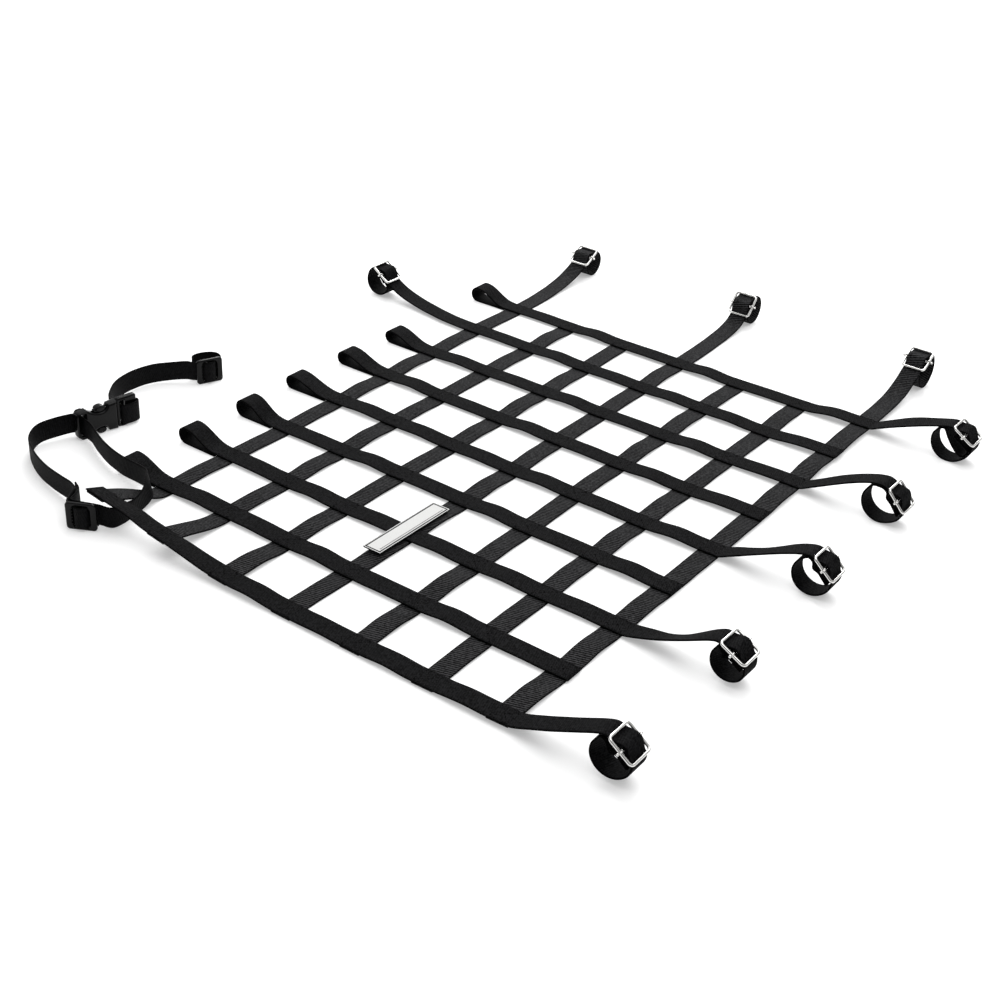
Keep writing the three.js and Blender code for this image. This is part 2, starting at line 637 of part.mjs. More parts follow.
// Socket: X along the buckle's axis, Y up its width, Z through its thickness
function releaseSocket() {
  const half = SOCKET_HEIGHT / 2;
  const waist = half - NOTCH.depth;
  const fall = (NOTCH.from + NOTCH.low) / 2;
  const rise = NOTCH.to - 2;
  const outline = new THREE.Shape();
  outline.moveTo(0, -half + 4.5);
  outline.quadraticCurveTo(0, -half + 0.8, 3.5, -half + 0.8);
  outline.lineTo(NOTCH.from, -half);
  outline.quadraticCurveTo(fall, -waist, NOTCH.low, -waist);
  outline.quadraticCurveTo(rise, -waist, NOTCH.to, -half + 0.6);
  outline.lineTo(SOCKET_LENGTH, -half);
  outline.lineTo(SOCKET_LENGTH, half);
  outline.lineTo(NOTCH.to, half - 0.6);
  outline.quadraticCurveTo(rise, waist, NOTCH.low, waist);
  outline.quadraticCurveTo(fall, waist, NOTCH.from, half);
  outline.lineTo(3.5, half - 0.8);
  outline.quadraticCurveTo(0, half - 0.8, 0, half - 4.5);
  const slotMid = (SOCKET_SLOT.from + SOCKET_SLOT.to) / 2;
  const slotHalf = (SOCKET_SLOT.to - SOCKET_SLOT.from) / 2;
  const slot = new THREE.Path();
  outline.holes.push(roundedRectangle(slot, slotHalf, SOCKET_SLOT.height / 2, 1.2, slotMid));
  let body = solid(plate(outline, SOCKET_THICK, 0.8, 3));
  [-1, 1].forEach((side) => {
    const from = ARM.from - 2;
    const length = SOCKET_LENGTH - from + 1;
    const middle = side * (half - ARM.inset - ARM.height / 2);
    const clear = 2 * PIECE_GAP;
    const channel = box(length, ARM.height + clear, ARM.thick + clear, from + length / 2, middle, 0);
    body = body.subtract(channel);
  });
  addMesh('release_socket', geometryOf(body), PLASTIC).applyMatrix4(standing(BUCKLE, half));
}

// Plug: the bar the upper strap folds over, and two arms whose rounded ends fill the socket's notches
function releasePlug() {
  const half = BUCKLE_HEIGHT / 2;
  const middle = (PLUG.from + PLUG.to) / 2;
  const outline = roundedRectangle(
    new THREE.Shape(),
    (PLUG.to - PLUG.from) / 2,
    half,
    2,
    middle,
  );
  const slotMid = (PLUG_SLOT.from + PLUG_SLOT.to) / 2;
  const slotHalf = (PLUG_SLOT.to - PLUG_SLOT.from) / 2;
  const slotTall = PLUG_SLOT.high - PLUG_SLOT.low;
  const slotY = (PLUG_SLOT.high + PLUG_SLOT.low) / 2 - half;
  const slot = new THREE.Path();
  outline.holes.push(roundedRectangle(slot, slotHalf, slotTall / 2, 1, slotMid, slotY));
  let body = solid(plate(outline, PLUG.thick, 0.8, 2));
  [-1, 1].forEach((side) => {
    const relief = (PLUG.thick - PLUG_BAR_THICK) / 2;
    const length = PLUG.to - PLUG_SLOT.to + 2;
    const z = side * (PLUG_BAR_THICK / 2 + relief / 2 + 0.5);
    const cut = box(length, slotTall, relief + 1, PLUG_SLOT.to + length / 2 - 0.5, slotY, z);
    body = body.subtract(cut);
    const arm = side * (SOCKET_HEIGHT / 2 - ARM.inset - ARM.height / 2) - (half - SOCKET_HEIGHT / 2);
    const reach = PLUG.from - ARM.from + 1;
    body = body.add(box(reach, ARM.height, ARM.thick, ARM.from + reach / 2, arm, 0));
    const button = new THREE.CylinderGeometry(1, 1, BUTTON.thick, 12).rotateX(Math.PI / 2);
    button.scale(BUTTON.half, BUTTON.rise, 1);
    body = body.add(solid(button.translate(BUTTON.at, arm + side * BUTTON.out, 0)));
  });
  addMesh('release_plug', geometryOf(body), PLASTIC).applyMatrix4(standing(BUCKLE, half));
}

// A strap standing on edge through hand-placed points { x, y, z, lean } at the middle of its width, where
// lean is how far its upper edge tips along X
function edgeStrap(name, points) {
  const route = new THREE.CatmullRomCurve3(
    points.map((p) => vector(p.x, p.y, p.z)),
    false,
    'centripetal',
  );
  const leanOf = (k) => points[k].lean || 0;
  const stations = route.getPoints(2 * (points.length - 1)).map((at, k) => {
    const lean = (leanOf(Math.floor(k / 2)) + leanOf(Math.ceil(k / 2))) / 2;
    return { at, across: vector(lean, 0, 1).normalize() };
  });
  addMesh(name, band(stations), WEBBING);
}

// The strap over a glide's middle bar: behind one end bar, over the middle, behind the other
function overGlide(place, z) {
  const right = GLIDE_WEAVE.map(({ share, v }) => ({ ...onPlan(place, share * GLIDE_SPAN, v), z }));
  const left = GLIDE_WEAVE.slice(1).reverse().map(({ share, v }) => (
    { ...onPlan(place, -share * GLIDE_SPAN, v), z }
  ));
  return [...left, ...right];
}

// Ring strap: its cut end, behind the front glide, under the lifted corner, over the first cross strap,
// through the socket's slot, round the left and back through the front glide
function ringStrap() {
  const mid = HARDWARE_MID;
  const behind = (u, v, z) => ({ ...onPlan(FRONT_GLIDE, u, v), z });
  edgeStrap('ring_strap', [
    { x: -251.5, y: -291.2, z: 11 },
    { x: -241.4, y: -296.4, z: 11.6 },
    { x: -235, y: -304.8, z: 12.4 },
    behind(-12, -9.8, mid),
    behind(-5, -8, mid),
    behind(6, -6.6, mid),
    behind(14, -6.6, 12),
    { x: -197, y: -300, z: 10.3 },
    { x: -195, y: -289, z: 10.1, lean: 0.08 },
    { x: -195.5, y: -276, z: 10.8, lean: 0.2 },
    { x: -197.5, y: -263, z: 13.9 },
    { x: -202.5, y: -252.5, z: 18.2, lean: -0.36 },
    { x: -210.5, y: -245.5, z: 17.4, lean: -0.2 },
    { x: -221, y: -240.8, z: 15.2, lean: -0.06 },
    { x: -235, y: -238.2, z: 13.6 },
    { x: -256, y: -236, z: 12.5 },
    { x: -283, y: -229.5, z: 12 },
    { x: -305, y: -221, z: 12 },
    { x: -322, y: -213.5, z: 12.3 },
    { ...onPlan(BUCKLE, 5.6, 5), z: 12.9 },
    { ...onPlan(BUCKLE, 5.6, -1), z: 13.1 },
    { ...onPlan(BUCKLE, 4.2, -7.5), z: 12.9 },
    { x: -354, y: -227.5, z: 12.4 },
    { x: -357.5, y: -245, z: 11.2 },
    { x: -347.5, y: -262.5, z: 10.4 },
    { x: -327, y: -275.6, z: 10.2 },
    { x: -307.5, y: -283.6, z: 10.2 },
    { x: -288, y: -288.8, z: 10.6 },
    { x: -268, y: -292.2, z: 11.2 },
    { x: -253, y: -294.6, z: 11.8 },
    { x: -243.6, y: -299, z: 12.3 },
    { x: -238.2, y: -307, z: mid },
    behind(-14.5, -7.5, mid),
    ...overGlide(FRONT_GLIDE, mid),
    behind(GLIDE_SPAN + 2.5, -3.4, mid),
  ]);
}

// Upper strap: folded over the plug's bar, back behind the buckle, round and over to the back glide,
// where it ends in a small loop
function upperStrap() {
  const mid = HARDWARE_MID;
  const byPlug = (u, v) => ({ ...onPlan(BUCKLE, u, v), z: PLUG_SLOT.low + HALF + 0.4 });
  const byGlide = (u, v) => ({ ...onPlan(BACK_GLIDE, u, v), z: mid });
  edgeStrap('upper_strap', [
    byPlug(47.8, -1.4),
    byPlug(46.6, 1.4),
    byPlug(47.8, 4),
    byPlug(52, 5),
    byPlug(58, 5),
    byPlug(63, 3.8),
    byPlug(65.4, 0.6),
    byPlug(64.4, -2.8),
    byPlug(60.2, -4.4),
    byPlug(55, -4.9),
    byPlug(50, -7),
    byPlug(46.2, -11),
    byPlug(46, -16.5),
    { x: -353, y: -164, z: 12.6 },
    { x: -361, y: -154.5, z: 13 },
    { x: -368.5, y: -144, z: 12.4 },
    { x: -375, y: -129, z: 11.6 },
    { x: -377.5, y: -111, z: 11 },
    { x: -374, y: -92, z: 11 },
    { x: -362, y: -74.5, z: 11.6 },
    { x: -350.5, y: -65.5, z: mid },
    byGlide(-15.5, -5.6),
    ...overGlide(BACK_GLIDE, mid),
    byGlide(14, -5.6),
    byGlide(15.2, -11.5),
    byGlide(13, -17.5),
    byGlide(6, -21.4),
    byGlide(-3, -22),
    byGlide(-10, -18.6),
    byGlide(-12, -12.4),
  ]);
}

function labelPatch() {
  const outline = roundedRectangle(
    new THREE.Shape(),
    LABEL.width / 2,
    LABEL.length / 2,
    LABEL.corner,
  );
  const geometry = plate(outline, LABEL.thick, 0.25, 1);
  const bottom = lift(3, MID_CROSS) + LAYER + STRAP_THICK + 1.5 * PIECE_GAP;
  addMesh('label_patch', geometry, PATCH).position.set(LABEL.x, LABEL.y, bottom + LABEL.thick / 2);
}

for (let i = 1; i <= LONG_COUNT; i += 1) longStrap(i);
for (let j = 1; j <= CROSS_COUNT; j += 1) crossStrap(j);
TAILS.forEach(slide);
glide('strap_glide_front', FRONT_GLIDE);
glide('strap_glide_back', BACK_GLIDE);
releaseSocket();
releasePlug();
ringStrap();
upperStrap();
labelPatch();

export default net;
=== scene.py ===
"""Looks of the webbing window net: woven straps, sewing, wire slides, glides, buckle and label."""

from collections import namedtuple
from math import atan, atan2, ceil, comb, cos, dist, hypot, inf, pi, radians, sin, sqrt

import bmesh
import bpy
import numpy as np
from mathutils import Matrix, Vector
from mathutils.geometry import tessellate_polygon


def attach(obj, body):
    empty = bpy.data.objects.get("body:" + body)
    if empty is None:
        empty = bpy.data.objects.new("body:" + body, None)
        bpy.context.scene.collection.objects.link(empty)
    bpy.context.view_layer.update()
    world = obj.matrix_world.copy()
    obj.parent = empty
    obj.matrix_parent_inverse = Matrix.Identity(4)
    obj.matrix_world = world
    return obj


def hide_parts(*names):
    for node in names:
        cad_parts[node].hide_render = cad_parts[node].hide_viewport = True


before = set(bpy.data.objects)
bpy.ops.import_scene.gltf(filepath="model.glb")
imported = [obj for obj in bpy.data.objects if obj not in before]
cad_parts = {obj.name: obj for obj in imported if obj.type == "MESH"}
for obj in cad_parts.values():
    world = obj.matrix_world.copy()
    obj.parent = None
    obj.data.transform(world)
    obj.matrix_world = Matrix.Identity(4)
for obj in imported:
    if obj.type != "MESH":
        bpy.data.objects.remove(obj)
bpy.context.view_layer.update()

MM = 0.001
CORNERS = ((-1, -1), (1, -1), (1, 1), (-1, 1))

# Webbing and grid, in millimetres, as in the solids
WIDTH = 20.0
THICK = 1.5
GAP = 0.3
PITCH_X = 70.0
PITCH_Y = 74.0
LONG_COUNT = 9
CROSS_COUNT = 7
MID_LONG = 5
MID_CROSS = 4
HALF = WIDTH / 2
LAYER = THICK + GAP
ZONE = HALF + 0.6
TUCK = HALF - 1.5
EDGE_X = PITCH_X * (CROSS_COUNT - MID_CROSS)
EDGE_Y = PITCH_Y * (LONG_COUNT - MID_LONG)

# Waves of the net, with their phases per strap, and its lifted front left corner
LIFT = 0.8
LIFT_PHASES = (2.3, 1.7)
ARCH = 1.7
ARCH_SHARES = (0.55, 0.45)
ARCH_PHASES = (1.3, 2.9)
CROSS_ARCH_SHIFT = 4
DRIFT = 0.9
DRIFT_LENGTH = 83
DRIFT_PHASE = 1.9
CORNER_LIFT = 22.5
CORNER_SLOPE = 0.35
CORNER_REACH = 2.4
CORNER_POWER = 1.2
FRONT_RISE = 2.0
EDGE_RISE = 3.4
EDGE_POWER = 1.6

# Sewn loops on the left: strap number to (reach, height)
LOOPS = {
    2: (47.0, 15.0), 3: (47.7, 16.6), 4: (46.0, 18.0), 5: (51.5, 14.2),
    6: (50.0, 14.4), 7: (47.3, 14.0), 9: (47.0, 16.4),
}
LOOP_END = (1.8, 14)
LOOP_LEAVE = 15
LOOP_LAND = (17, 0.4)
LOOP_TURN_STEPS = 9
LOOP_STEPS = 6

# Tails with a wire slide, one row each
Tail = namedtuple(
    "Tail",
    "run strap end slide rise face ring height radius "
    "near climb far drift twist sag flap hang deep",
)
TAILS = [Tail(*row) for row in (
    ("long", 1, 1, 103.2, 32.3, 54, 94, 20.8, 16, 60, 0.39, 8, 0, 0, 6, 12.5, 4.8, 0),
    ("long", 3, 1, 105.8, 30.9, 62, 102.1, 19.3, 14.8, 48, 0.26, 8, 0, -16, 5, 12.5, 4.8, 0),
    ("long", 5, 1, 105.3, 30.6, 48, 94.5, 18.7, 16.6, 25, 0.43, 9, 0, -9, 2, 12.5, 4.8, 0),
    ("long", 7, 1, 102.7, 27.2, 42, 88.3, 18.8, 17.7, 22, 0.42, 16, 0, 3, 0, 12.5, 4.8, 0),
    ("long", 9, 1, 102.5, 30.5, 57, 90.4, 18.8, 18.3, 12, 0.42, 7, -0.8, 6, 0, 12.5, 4.8, 28),
    ("long", 8, -1, 135, 27.7, 125, 141.1, 17.1, 14.7, 76, 0, 22, 12.8, 0, 3, 9, 1.5, 0),
    ("cross", 1, 1, 135, 24.7, 120, 144.7, 14.7, 13.5, 72, 0, 22, -4.6, 0, 2, 9, 1.5, 0),
    ("cross", 4, 1, 137.4, 24.2, 138, 148.4, 16.5, 14.9, 76, 0, 20, -4.4, 0, 2, 9, 1.5, 0),
    ("cross", 7, 1, 119.2, 32, 120, 126.7, 17.8, 16.8, 66, 0, 34, -0.9, 0, 3, 9, 1.5, 0),
)]
TAIL_STEPS = 8
THREAD_STEPS = 10
RING_STEP = 13
RING_SETTLE = 65
RING_LEAST = 120
RING_MOST = 340
TWIST_END = 0.7
UNDER_GAP = THICK + GAP + 0.2
UNDER_SPACING = 3
SAG_LEAN = 1.6
HUNG_SPACING = 4.5
DEEP_SHIFT = 9
DEEP_STEPS = 8
INNER_DROP = 0.9

# Wire slide; the strap bulges over its bar, and the sewn end hangs below as a flap (along, drop)
WIRE = 1.2
SLIDE_HALF_LENGTH = 12.1
SLIDE_HALF_WIDTH = 12.0
SLIDE_CORNER = 4.2
BAR_RADIUS = 1.1
EYE_OUTER = 2.5
EYE_LENGTH = 3.2
BAR_CLEAR = WIRE + GAP + THICK / 2 + 0.2
END_CLEAR = EYE_OUTER + GAP + THICK / 2 + 0.2
BULGE = 3.8
BULGE_POWER = 2
FLAP = ((0.0, 0.8), (0.5, 0.88), (1.0, 1.0))

# Strap glide
GLIDE_LENGTH = 26.6
GLIDE_HEIGHT = 25.6
GLIDE_THICK = 3.2
GLIDE_BAR = 3.6
GLIDE_SLOT = 6.2
GLIDE_SLOT_HEIGHT = 20.9
GLIDE_EDGE = 0.95
GLIDE_CORNER = 3.0
GLIDE_SLOT_CORNER = 2.6
GLIDE_SLOT_PLAY = 0.2
GLIDE_TAPER = 0.09
GLIDE_TAPER_FROM = 6.0
GLIDE_TEETH = 6
GLIDE_TEETH_SPREAD = 0.86
GLIDE_TOOTH = (1.5, 1.5, 1.7)
GLIDE_WEAVE = ((0.0, 3.9), (0.32, 3.2), (0.5, 0.6), (0.66, -2.8), (1.0, -3.2))
GLIDE_SPAN = (GLIDE_LENGTH + GLIDE_BAR) / 4 + GLIDE_SLOT / 2
FRONT_GLIDE = (-214.6, -317.2, atan2(13, 24))
BACK_GLIDE = (-334.7, -51.8, atan2(24, 10))
HARDWARE_MID = GLIDE_HEIGHT / 2

# Side-release buckle
BUCKLE = (-339.5, -216.0, atan2(66, 12))
BUCKLE_HEIGHT = 29.6
SOCKET_HEIGHT = 28.4
SOCKET_LENGTH = 41.5
SOCKET_THICK = 9.4
SOCKET_EDGE = 2.3
SOCKET_SLOT = (3.0, 8.2, 23.4)
NOTCH_FROM = 10.0
NOTCH_LOW = 25.0
NOTCH_TO = 32.5
NOTCH_DEPTH = 6.6
BUTTON_AT = 24.5
BUTTON_HALF = 4.9
BUTTON_RISE = 3.0
BUTTON_THICK = 7.4
BUTTON_OUT = 1.6
BUTTON_EDGE = 1.1
BUTTON_SIDES = 36
ARM_FROM = 18.0
ARM_INSET = 3.4
ARM_HEIGHT = 2.6
ARM_THICK = 4.4
PLUG = (SOCKET_LENGTH + GAP, 62.6, 5.6)
PLUG_SLOT = (45.2, 51.0, 1.8, 25.8)
PLUG_BAR_THICK = 3.6
PLUG_EDGE = 1.5

# Label patch
LABEL_AT = (-4.5, -144.5)
LABEL_SIZE = (19.0, 94.0, 1.2)
LABEL_CORNER = 1.2
LABEL_EDGE = 0.4
LABEL_LINE = (2.0, 0.7)
LABEL_RULE = (4.4, 0.3)
LABEL_RULE_END = 5.0
# Width of the dark band of painted shade round the label's edge
LABEL_EDGE_SHADE = 0.45

# Fineness of the visual straps, and the scale of their UV map
STATION = 2.0
EDGE_STATION = 1.5
GRID_BETWEEN = 9
WIDTH_WANDER = 0.12
WANDER_LENGTHS = (17, 6.3)
UV_PER_MM = 0.1

# Spacing of points along straight sides, which plates with holes need
SLIDE_SPACING = 2.5
GLIDE_SPACING = 3.0
SOCKET_SPACING = 2.2
PLUG_SPACING = 2.5
LABEL_SPACING = 4.0

# Faces that meet at more than this many degrees keep a crisp edge
GLIDE_CREASE = 42
BUCKLE_CREASE = 38
LABEL_CREASE = 50

# Camera, from the photograph
LENS = 56.82
CAMERA_AT = (715.2, -1033.0, 707.6)
CAMERA_RIGHT = (0.8023, 0.5954, 0.0430)
CAMERA_DOWN = (0.3321, -0.3853, -0.8609)
CAMERA_FORWARD = (-0.4960, 0.7050, -0.5069)


def long_y(i):
    return (i - MID_LONG) * PITCH_Y


def cross_x(j):
    return (j - MID_CROSS) * PITCH_X


def corner_share(j):
    return max(0.0, (CORNER_REACH + 1 - j) / CORNER_REACH) ** CORNER_POWER


def lift(i, j):
    last = j == CROSS_COUNT
    if i == 1:
        return CORNER_LIFT * corner_share(j) + (FRONT_RISE if last else 0)
    if last:
        return EDGE_RISE * ((i - 1) / (LONG_COUNT - 1)) ** EDGE_POWER
    return max(0.0, LIFT * sin(LIFT_PHASES[0] * i + LIFT_PHASES[1] * j))


def corner_slope(i, j):
    return CORNER_SLOPE * corner_share(j) if i == 1 else 0.0


def fall_at(i, j):
    """Slope of the first long strap along X, which runs straight down from the corner."""
    if i != 1:
        return 0.0
    before, after = max(1, j - 1), min(CROSS_COUNT, j + 1)
    return (lift(1, after) - lift(1, before)) / (PITCH_X * (after - before))


def rest_at(i, j):
    """Height of a cross strap's underside where it crosses."""
    return lift(i, j) + HALF * abs(fall_at(i, j))


def arch_at(i, j):
    base, swing = ARCH_SHARES
    return ARCH * (base + swing * sin(ARCH_PHASES[0] * i + ARCH_PHASES[1] * j))


def tail_of(run, strap, end):
    return next((tail for tail in TAILS if tail[:3] == (run, strap, end)), None)


def sideways(run, strap, s):
    """Sideways place of a strap off its grid line, s along the strap."""
    edge = EDGE_X if run == "long" else EDGE_Y
    phase = DRIFT_PHASE * (strap if run == "long" else strap + CROSS_COUNT)
    still = (run, strap) == ("long", 1)
    wander = 0.0 if still else DRIFT * sin(s / DRIFT_LENGTH + phase)
    tail = tail_of(run, strap, 1 if s > 0 else -1)
    if tail:
        past = abs(s) - edge - ZONE
        wander += tail.drift * smoothstep(past, 0, tail.slide - SLIDE_HALF_LENGTH - ZONE)
    return wander


def slant_at(run, strap, s):
    return sideways(run, strap, s + 0.5) - sideways(run, strap, s - 0.5)


def hermite(t, start, start_slope, finish, finish_slope):
    a, b = 3 * t**2 - 2 * t**3, t**3 - t**2
    return (1 - a) * start + (b - t**2 + t) * start_slope + a * finish + b * finish_slope


def lerp(a, b, t):
    return a + (b - a) * t


def smoothstep(x, low, high):
    t = min(1.0, max(0.0, (x - low) / (high - low)))
    return t * t * (3 - 2 * t)


def grid_run(crossings, bottom, slope, tilt, arch):
    """A strap's run over its crossings as (s, z, tilt): level at each one, arched in between."""
    run = []
    for k, at in enumerate(crossings):
        for share in (-1, -0.5, 0, 0.5, 1):
            run.append((at + share * ZONE, bottom(k) + slope(k) * share * ZONE, tilt(k)))
        if k == len(crossings) - 1:
            break
        span = crossings[k + 1] - at - 2 * ZONE
        start = bottom(k) + slope(k) * ZONE
        finish = bottom(k + 1) - slope(k + 1) * ZONE
        for n in range(1, GRID_BETWEEN + 1):
            t = n / (GRID_BETWEEN + 1)
            rise = arch(k) * sin(pi * t) ** 2
            z = hermite(t, start, slope(k) * span, finish, slope(k + 1) * span) + rise
            run.append((at + ZONE + span * t, z, lerp(tilt(k), tilt(k + 1), t)))
    return run


class SlidePlace:
    """The slide in its tail's plane: a runs along the strap, o out of the slide's face."""

    def __init__(self, tail):
        face = radians(tail.face)
        self.s, self.z = tail.slide, tail.rise
        self.along = (sin(face), -cos(face))
        self.out = (cos(face), sin(face))

    def at(self, a, o):
        s = self.s + a * self.along[0] + o * self.out[0]
        z = self.z + a * self.along[1] + o * self.out[1]
        return s, z

    def outward(self, s, z):
        return (s - self.s) * self.out[0] + (z - self.z) * self.out[1]


def beside(points, by):
    """A row of (s, z, ...) points moved to the right of its direction."""
    moved = []
    for k, p in enumerate(points):
        before = points[max(0, k - 1)]
        after = points[min(len(points) - 1, k + 1)]
        length = hypot(after[0] - before[0], after[1] - before[1])
        moved.append((
            p[0] + by * (after[1] - before[1]) / length,
            p[1] - by * (after[0] - before[0]) / length,
        ))
    return moved


def height_on(points, s):
    if s > points[-1][0]:
        return inf
    k = max(1, next(n for n, p in enumerate(points) if p[0] >= s))
    (s0, z0), (s1, z1) = points[k - 1], points[k]
    return lerp(z0, z1, (s - s0) / (s1 - s0))


def ring_run(tail, place, start_at, underside):
    """From the slide's outer end down and round to the tail's underside or the slide's."""
    under = -(BAR_CLEAR + UNDER_GAP + 1)
    ds, dz = start_at[0] - tail.ring, start_at[1] - tail.height
    start, start_radius = atan2(dz, ds), hypot(dz, ds)
    run = []
    for turned in range(RING_STEP, RING_MOST, RING_STEP):
        radius = lerp(start_radius, tail.radius, smoothstep(turned, 0, RING_SETTLE))
        angle = start - radians(turned)
        s = tail.ring + radius * cos(angle)
        z = tail.height + radius * sin(angle)
        met = z > height_on(underside, s) - UNDER_SPACING / 2 or place.outward(s, z) > under
        if turned > RING_LEAST and met:
            break
        run.append((s, max(z, THICK / 2), 0.0))
    return run


def bezier(t, *points):
    """A point of the plane curve that these points control."""
    n = len(points) - 1
    weights = [comb(n, k) * (1 - t) ** (n - k) * t**k for k in range(n + 1)]
    return tuple(sum(w * p[c] for w, p in zip(weights, points)) for c in (0, 1))


def run_lengths(points):
    return np.concatenate([[0.0], np.cumsum(np.linalg.norm(np.diff(points, axis=0), axis=1))])


def evenly(points, spacing):
    """A row of (s, z) points placed evenly along its length."""
    p = np.array(points, float)
    run = run_lengths(p)
    count = max(2, round(run[-1] / spacing))
    at = np.linspace(0, run[-1], count + 1)
    return list(zip(np.interp(at, run, p[:, 0]), np.interp(at, run, p[:, 1])))


def deep_fold(start, end, depth):
    """An end that hangs deep into its ring and comes up to the bar from the far side."""
    low = ((start[0] + end[0][0]) / 2 + DEEP_SHIFT, (start[1] + end[0][1]) / 2 - depth)
    return [bezier(n / DEEP_STEPS, start, low, end[0]) for n in range(DEEP_STEPS + 1)] + end[1:]


def tail_run(tail, start_z):
    """Outward from the outer crossing: rise, slide, ring and sewn end, as (s, z, tilt)."""
    place = SlidePlace(tail)
    upper = place.at(-SLIDE_HALF_LENGTH, -BAR_CLEAR)
    control = (
        (ZONE, start_z),
        (ZONE + tail.near, start_z + tail.near * tail.climb),
        (upper[0] - tail.far * place.along[0], upper[1] - tail.far * place.along[1]),
        upper,
    )
    rise = []
    for n in range(1, TAIL_STEPS + 1):
        s, z = bezier(n / TAIL_STEPS, *control)
        share = (s - ZONE) / (tail.ring - TWIST_END * tail.radius - ZONE)
        roll = sin(pi * min(1.0, max(0.0, share))) ** 2
        tilt = radians(tail.twist) * roll
        rise.append((s, max(z + HALF * sin(tilt), THICK / 2), tilt))
    thread = []
    for n in range(1, THREAD_STEPS + 1):
        share = 2 * n / THREAD_STEPS - 1
        over = max(0.0, cos(pi / 2 * share)) ** BULGE_POWER
        o = (BAR_CLEAR + BULGE) * over - BAR_CLEAR
        thread.append((*place.at(share * SLIDE_HALF_LENGTH, o), 0.0))
    underside = beside(rise, UNDER_GAP)
    ring = ring_run(tail, place, thread[-1], underside)
    back = [p for p in underside if p[0] > ring[-1][0] + UNDER_SPACING / 2]
    end = [
        place.at(reach * tail.flap, -END_CLEAR - drop * tail.hang) for reach, drop in FLAP
    ]
    inner = place.at(-SLIDE_HALF_LENGTH / 2, -END_CLEAR - INNER_DROP * tail.hang)
    if tail.deep:
        first, second = evenly(back, HUNG_SPACING)[:2]
        hung = [first, *deep_fold(second, [*end[::-1], inner], tail.deep)]
    else:
        back = evenly([*back, inner], HUNG_SPACING)
        hung = []
        for k, (s, z) in enumerate(back):
            share = (k + 1) / (len(back) + 1)
            hung.append((s, z - tail.sag * sin(pi * share**SAG_LEAN) ** 2))
        hung += end
    return rise + thread + ring + [(s, z, 0.0) for s, z in hung]


def loop_run(reach, height, top_z):
    """The sewn loop, from its free end on the floor round to the crossing, as (s, z, tilt)."""
    radius = (height - THICK) / 2
    floor = THICK / 2
    middle = HALF + reach - radius - THICK / 2
    run = [(HALF + past, floor, 0.0) for past in LOOP_END]
    for n in range(LOOP_TURN_STEPS + 1):
        angle = -pi / 2 + pi * n / LOOP_TURN_STEPS
        z = floor + radius + radius * sin(angle)
        run.append((middle + radius * cos(angle), z, 0.0))
    top = floor + 2 * radius
    control = (
        (middle, top),
        (middle - LOOP_LEAVE, top),
        (ZONE + LOOP_LAND[0], top_z + LOOP_LAND[1]),
        (ZONE, top_z),
    )
    return run + [(*bezier(n / LOOP_STEPS, *control), 0.0) for n in range(1, LOOP_STEPS)]


def catmull(points, spacing):
    """A smooth centripetal curve through rows of x, y, z and more, in steps of about spacing."""
    p = np.array(points, float)
    out = []
    for i in range(len(p) - 1):
        p1, p2 = p[i], p[i + 1]
        p0 = p[i - 1] if i > 0 else 2 * p1 - p2
        p3 = p[i + 2] if i + 2 < len(p) else 2 * p2 - p1
        d0, d1, d2 = (
            sqrt(np.linalg.norm((b - a)[:3])) for a, b in ((p0, p1), (p1, p2), (p2, p3))
        )
        t1 = ((p1 - p0) / d0 - (p2 - p0) / (d0 + d1) + (p2 - p1) / d1) * d1
        t2 = ((p2 - p1) / d1 - (p3 - p1) / (d1 + d2) + (p3 - p2) / d2) * d1
        steps = max(1, ceil(np.linalg.norm((p2 - p1)[:3]) / spacing))
        for n in range(steps):
            out.append(hermite(n / steps, p1, t1, p2, t2))
    out.append(p[-1])
    return np.array(out)


def circle(count):
    angles = [2 * pi * k / count for k in range(count)]
    return [(cos(angle), sin(angle)) for angle in angles]


def unit(v):
    return v / np.linalg.norm(v, axis=-1, keepdims=True)


def new_object(name, vertices, faces):
    """A smooth mesh object from millimetre vertices."""
    mesh = bpy.data.meshes.new(name)
    mesh.from_pydata((np.asarray(vertices, float) * MM).tolist(), [], faces)
    mesh.validate()
    mesh.shade_smooth()
    obj = bpy.data.objects.new(name, mesh)
    bpy.context.scene.collection.objects.link(obj)
    return obj


def tube_faces(rows, sides, closed=False):
    """Faces between rows of points round a tube, and its two ends where it isn't closed."""
    faces = []
    for k in range(rows if closed else rows - 1):
        m = (k + 1) % rows
        for s in range(sides):
            t = (s + 1) % sides
            faces.append((k * sides + s, k * sides + t, m * sides + t, m * sides + s))
    if not closed:
        faces.append(tuple(range(sides - 1, -1, -1)))
        faces.append(tuple(range((rows - 1) * sides, rows * sides)))
    return faces


# Section of the webbing: one face, one selvedge, and both again turned round, as (across, out)
FACE_COLUMNS = (-9.35, -7.8, -5.2, -2.6, 0.0, 2.6, 5.2, 7.8, 9.35)
EDGE_ROUND = ((9.8, 0.5), (10.0, 0.0), (9.8, -0.5))
SECTION = np.array([
    (side * a, -side * n)
    for side in (1, -1)
    for a, n in (*((a, THICK / 2) for a in FACE_COLUMNS), *EDGE_ROUND)
])


class Strap:
    """The middle line of a strap with its across and normal directions at each station."""

    def __init__(self, at, across):
        self.at = at
        self.across = unit(across)
        self.normal = unit(np.cross(unit(np.gradient(at, axis=0)), self.across))
        self.run = run_lengths(at)
        self.length = float(self.run[-1])

    def place(self, run, a, out):
        """Points at a run length along the strap, a across it and out from its middle."""
        def mix(table):
            return np.array([np.interp(run, self.run, table[:, c]) for c in range(3)]).T
        across, normal = mix(self.across), mix(self.normal)
        return mix(self.at) + a[:, None] * across + out * normal


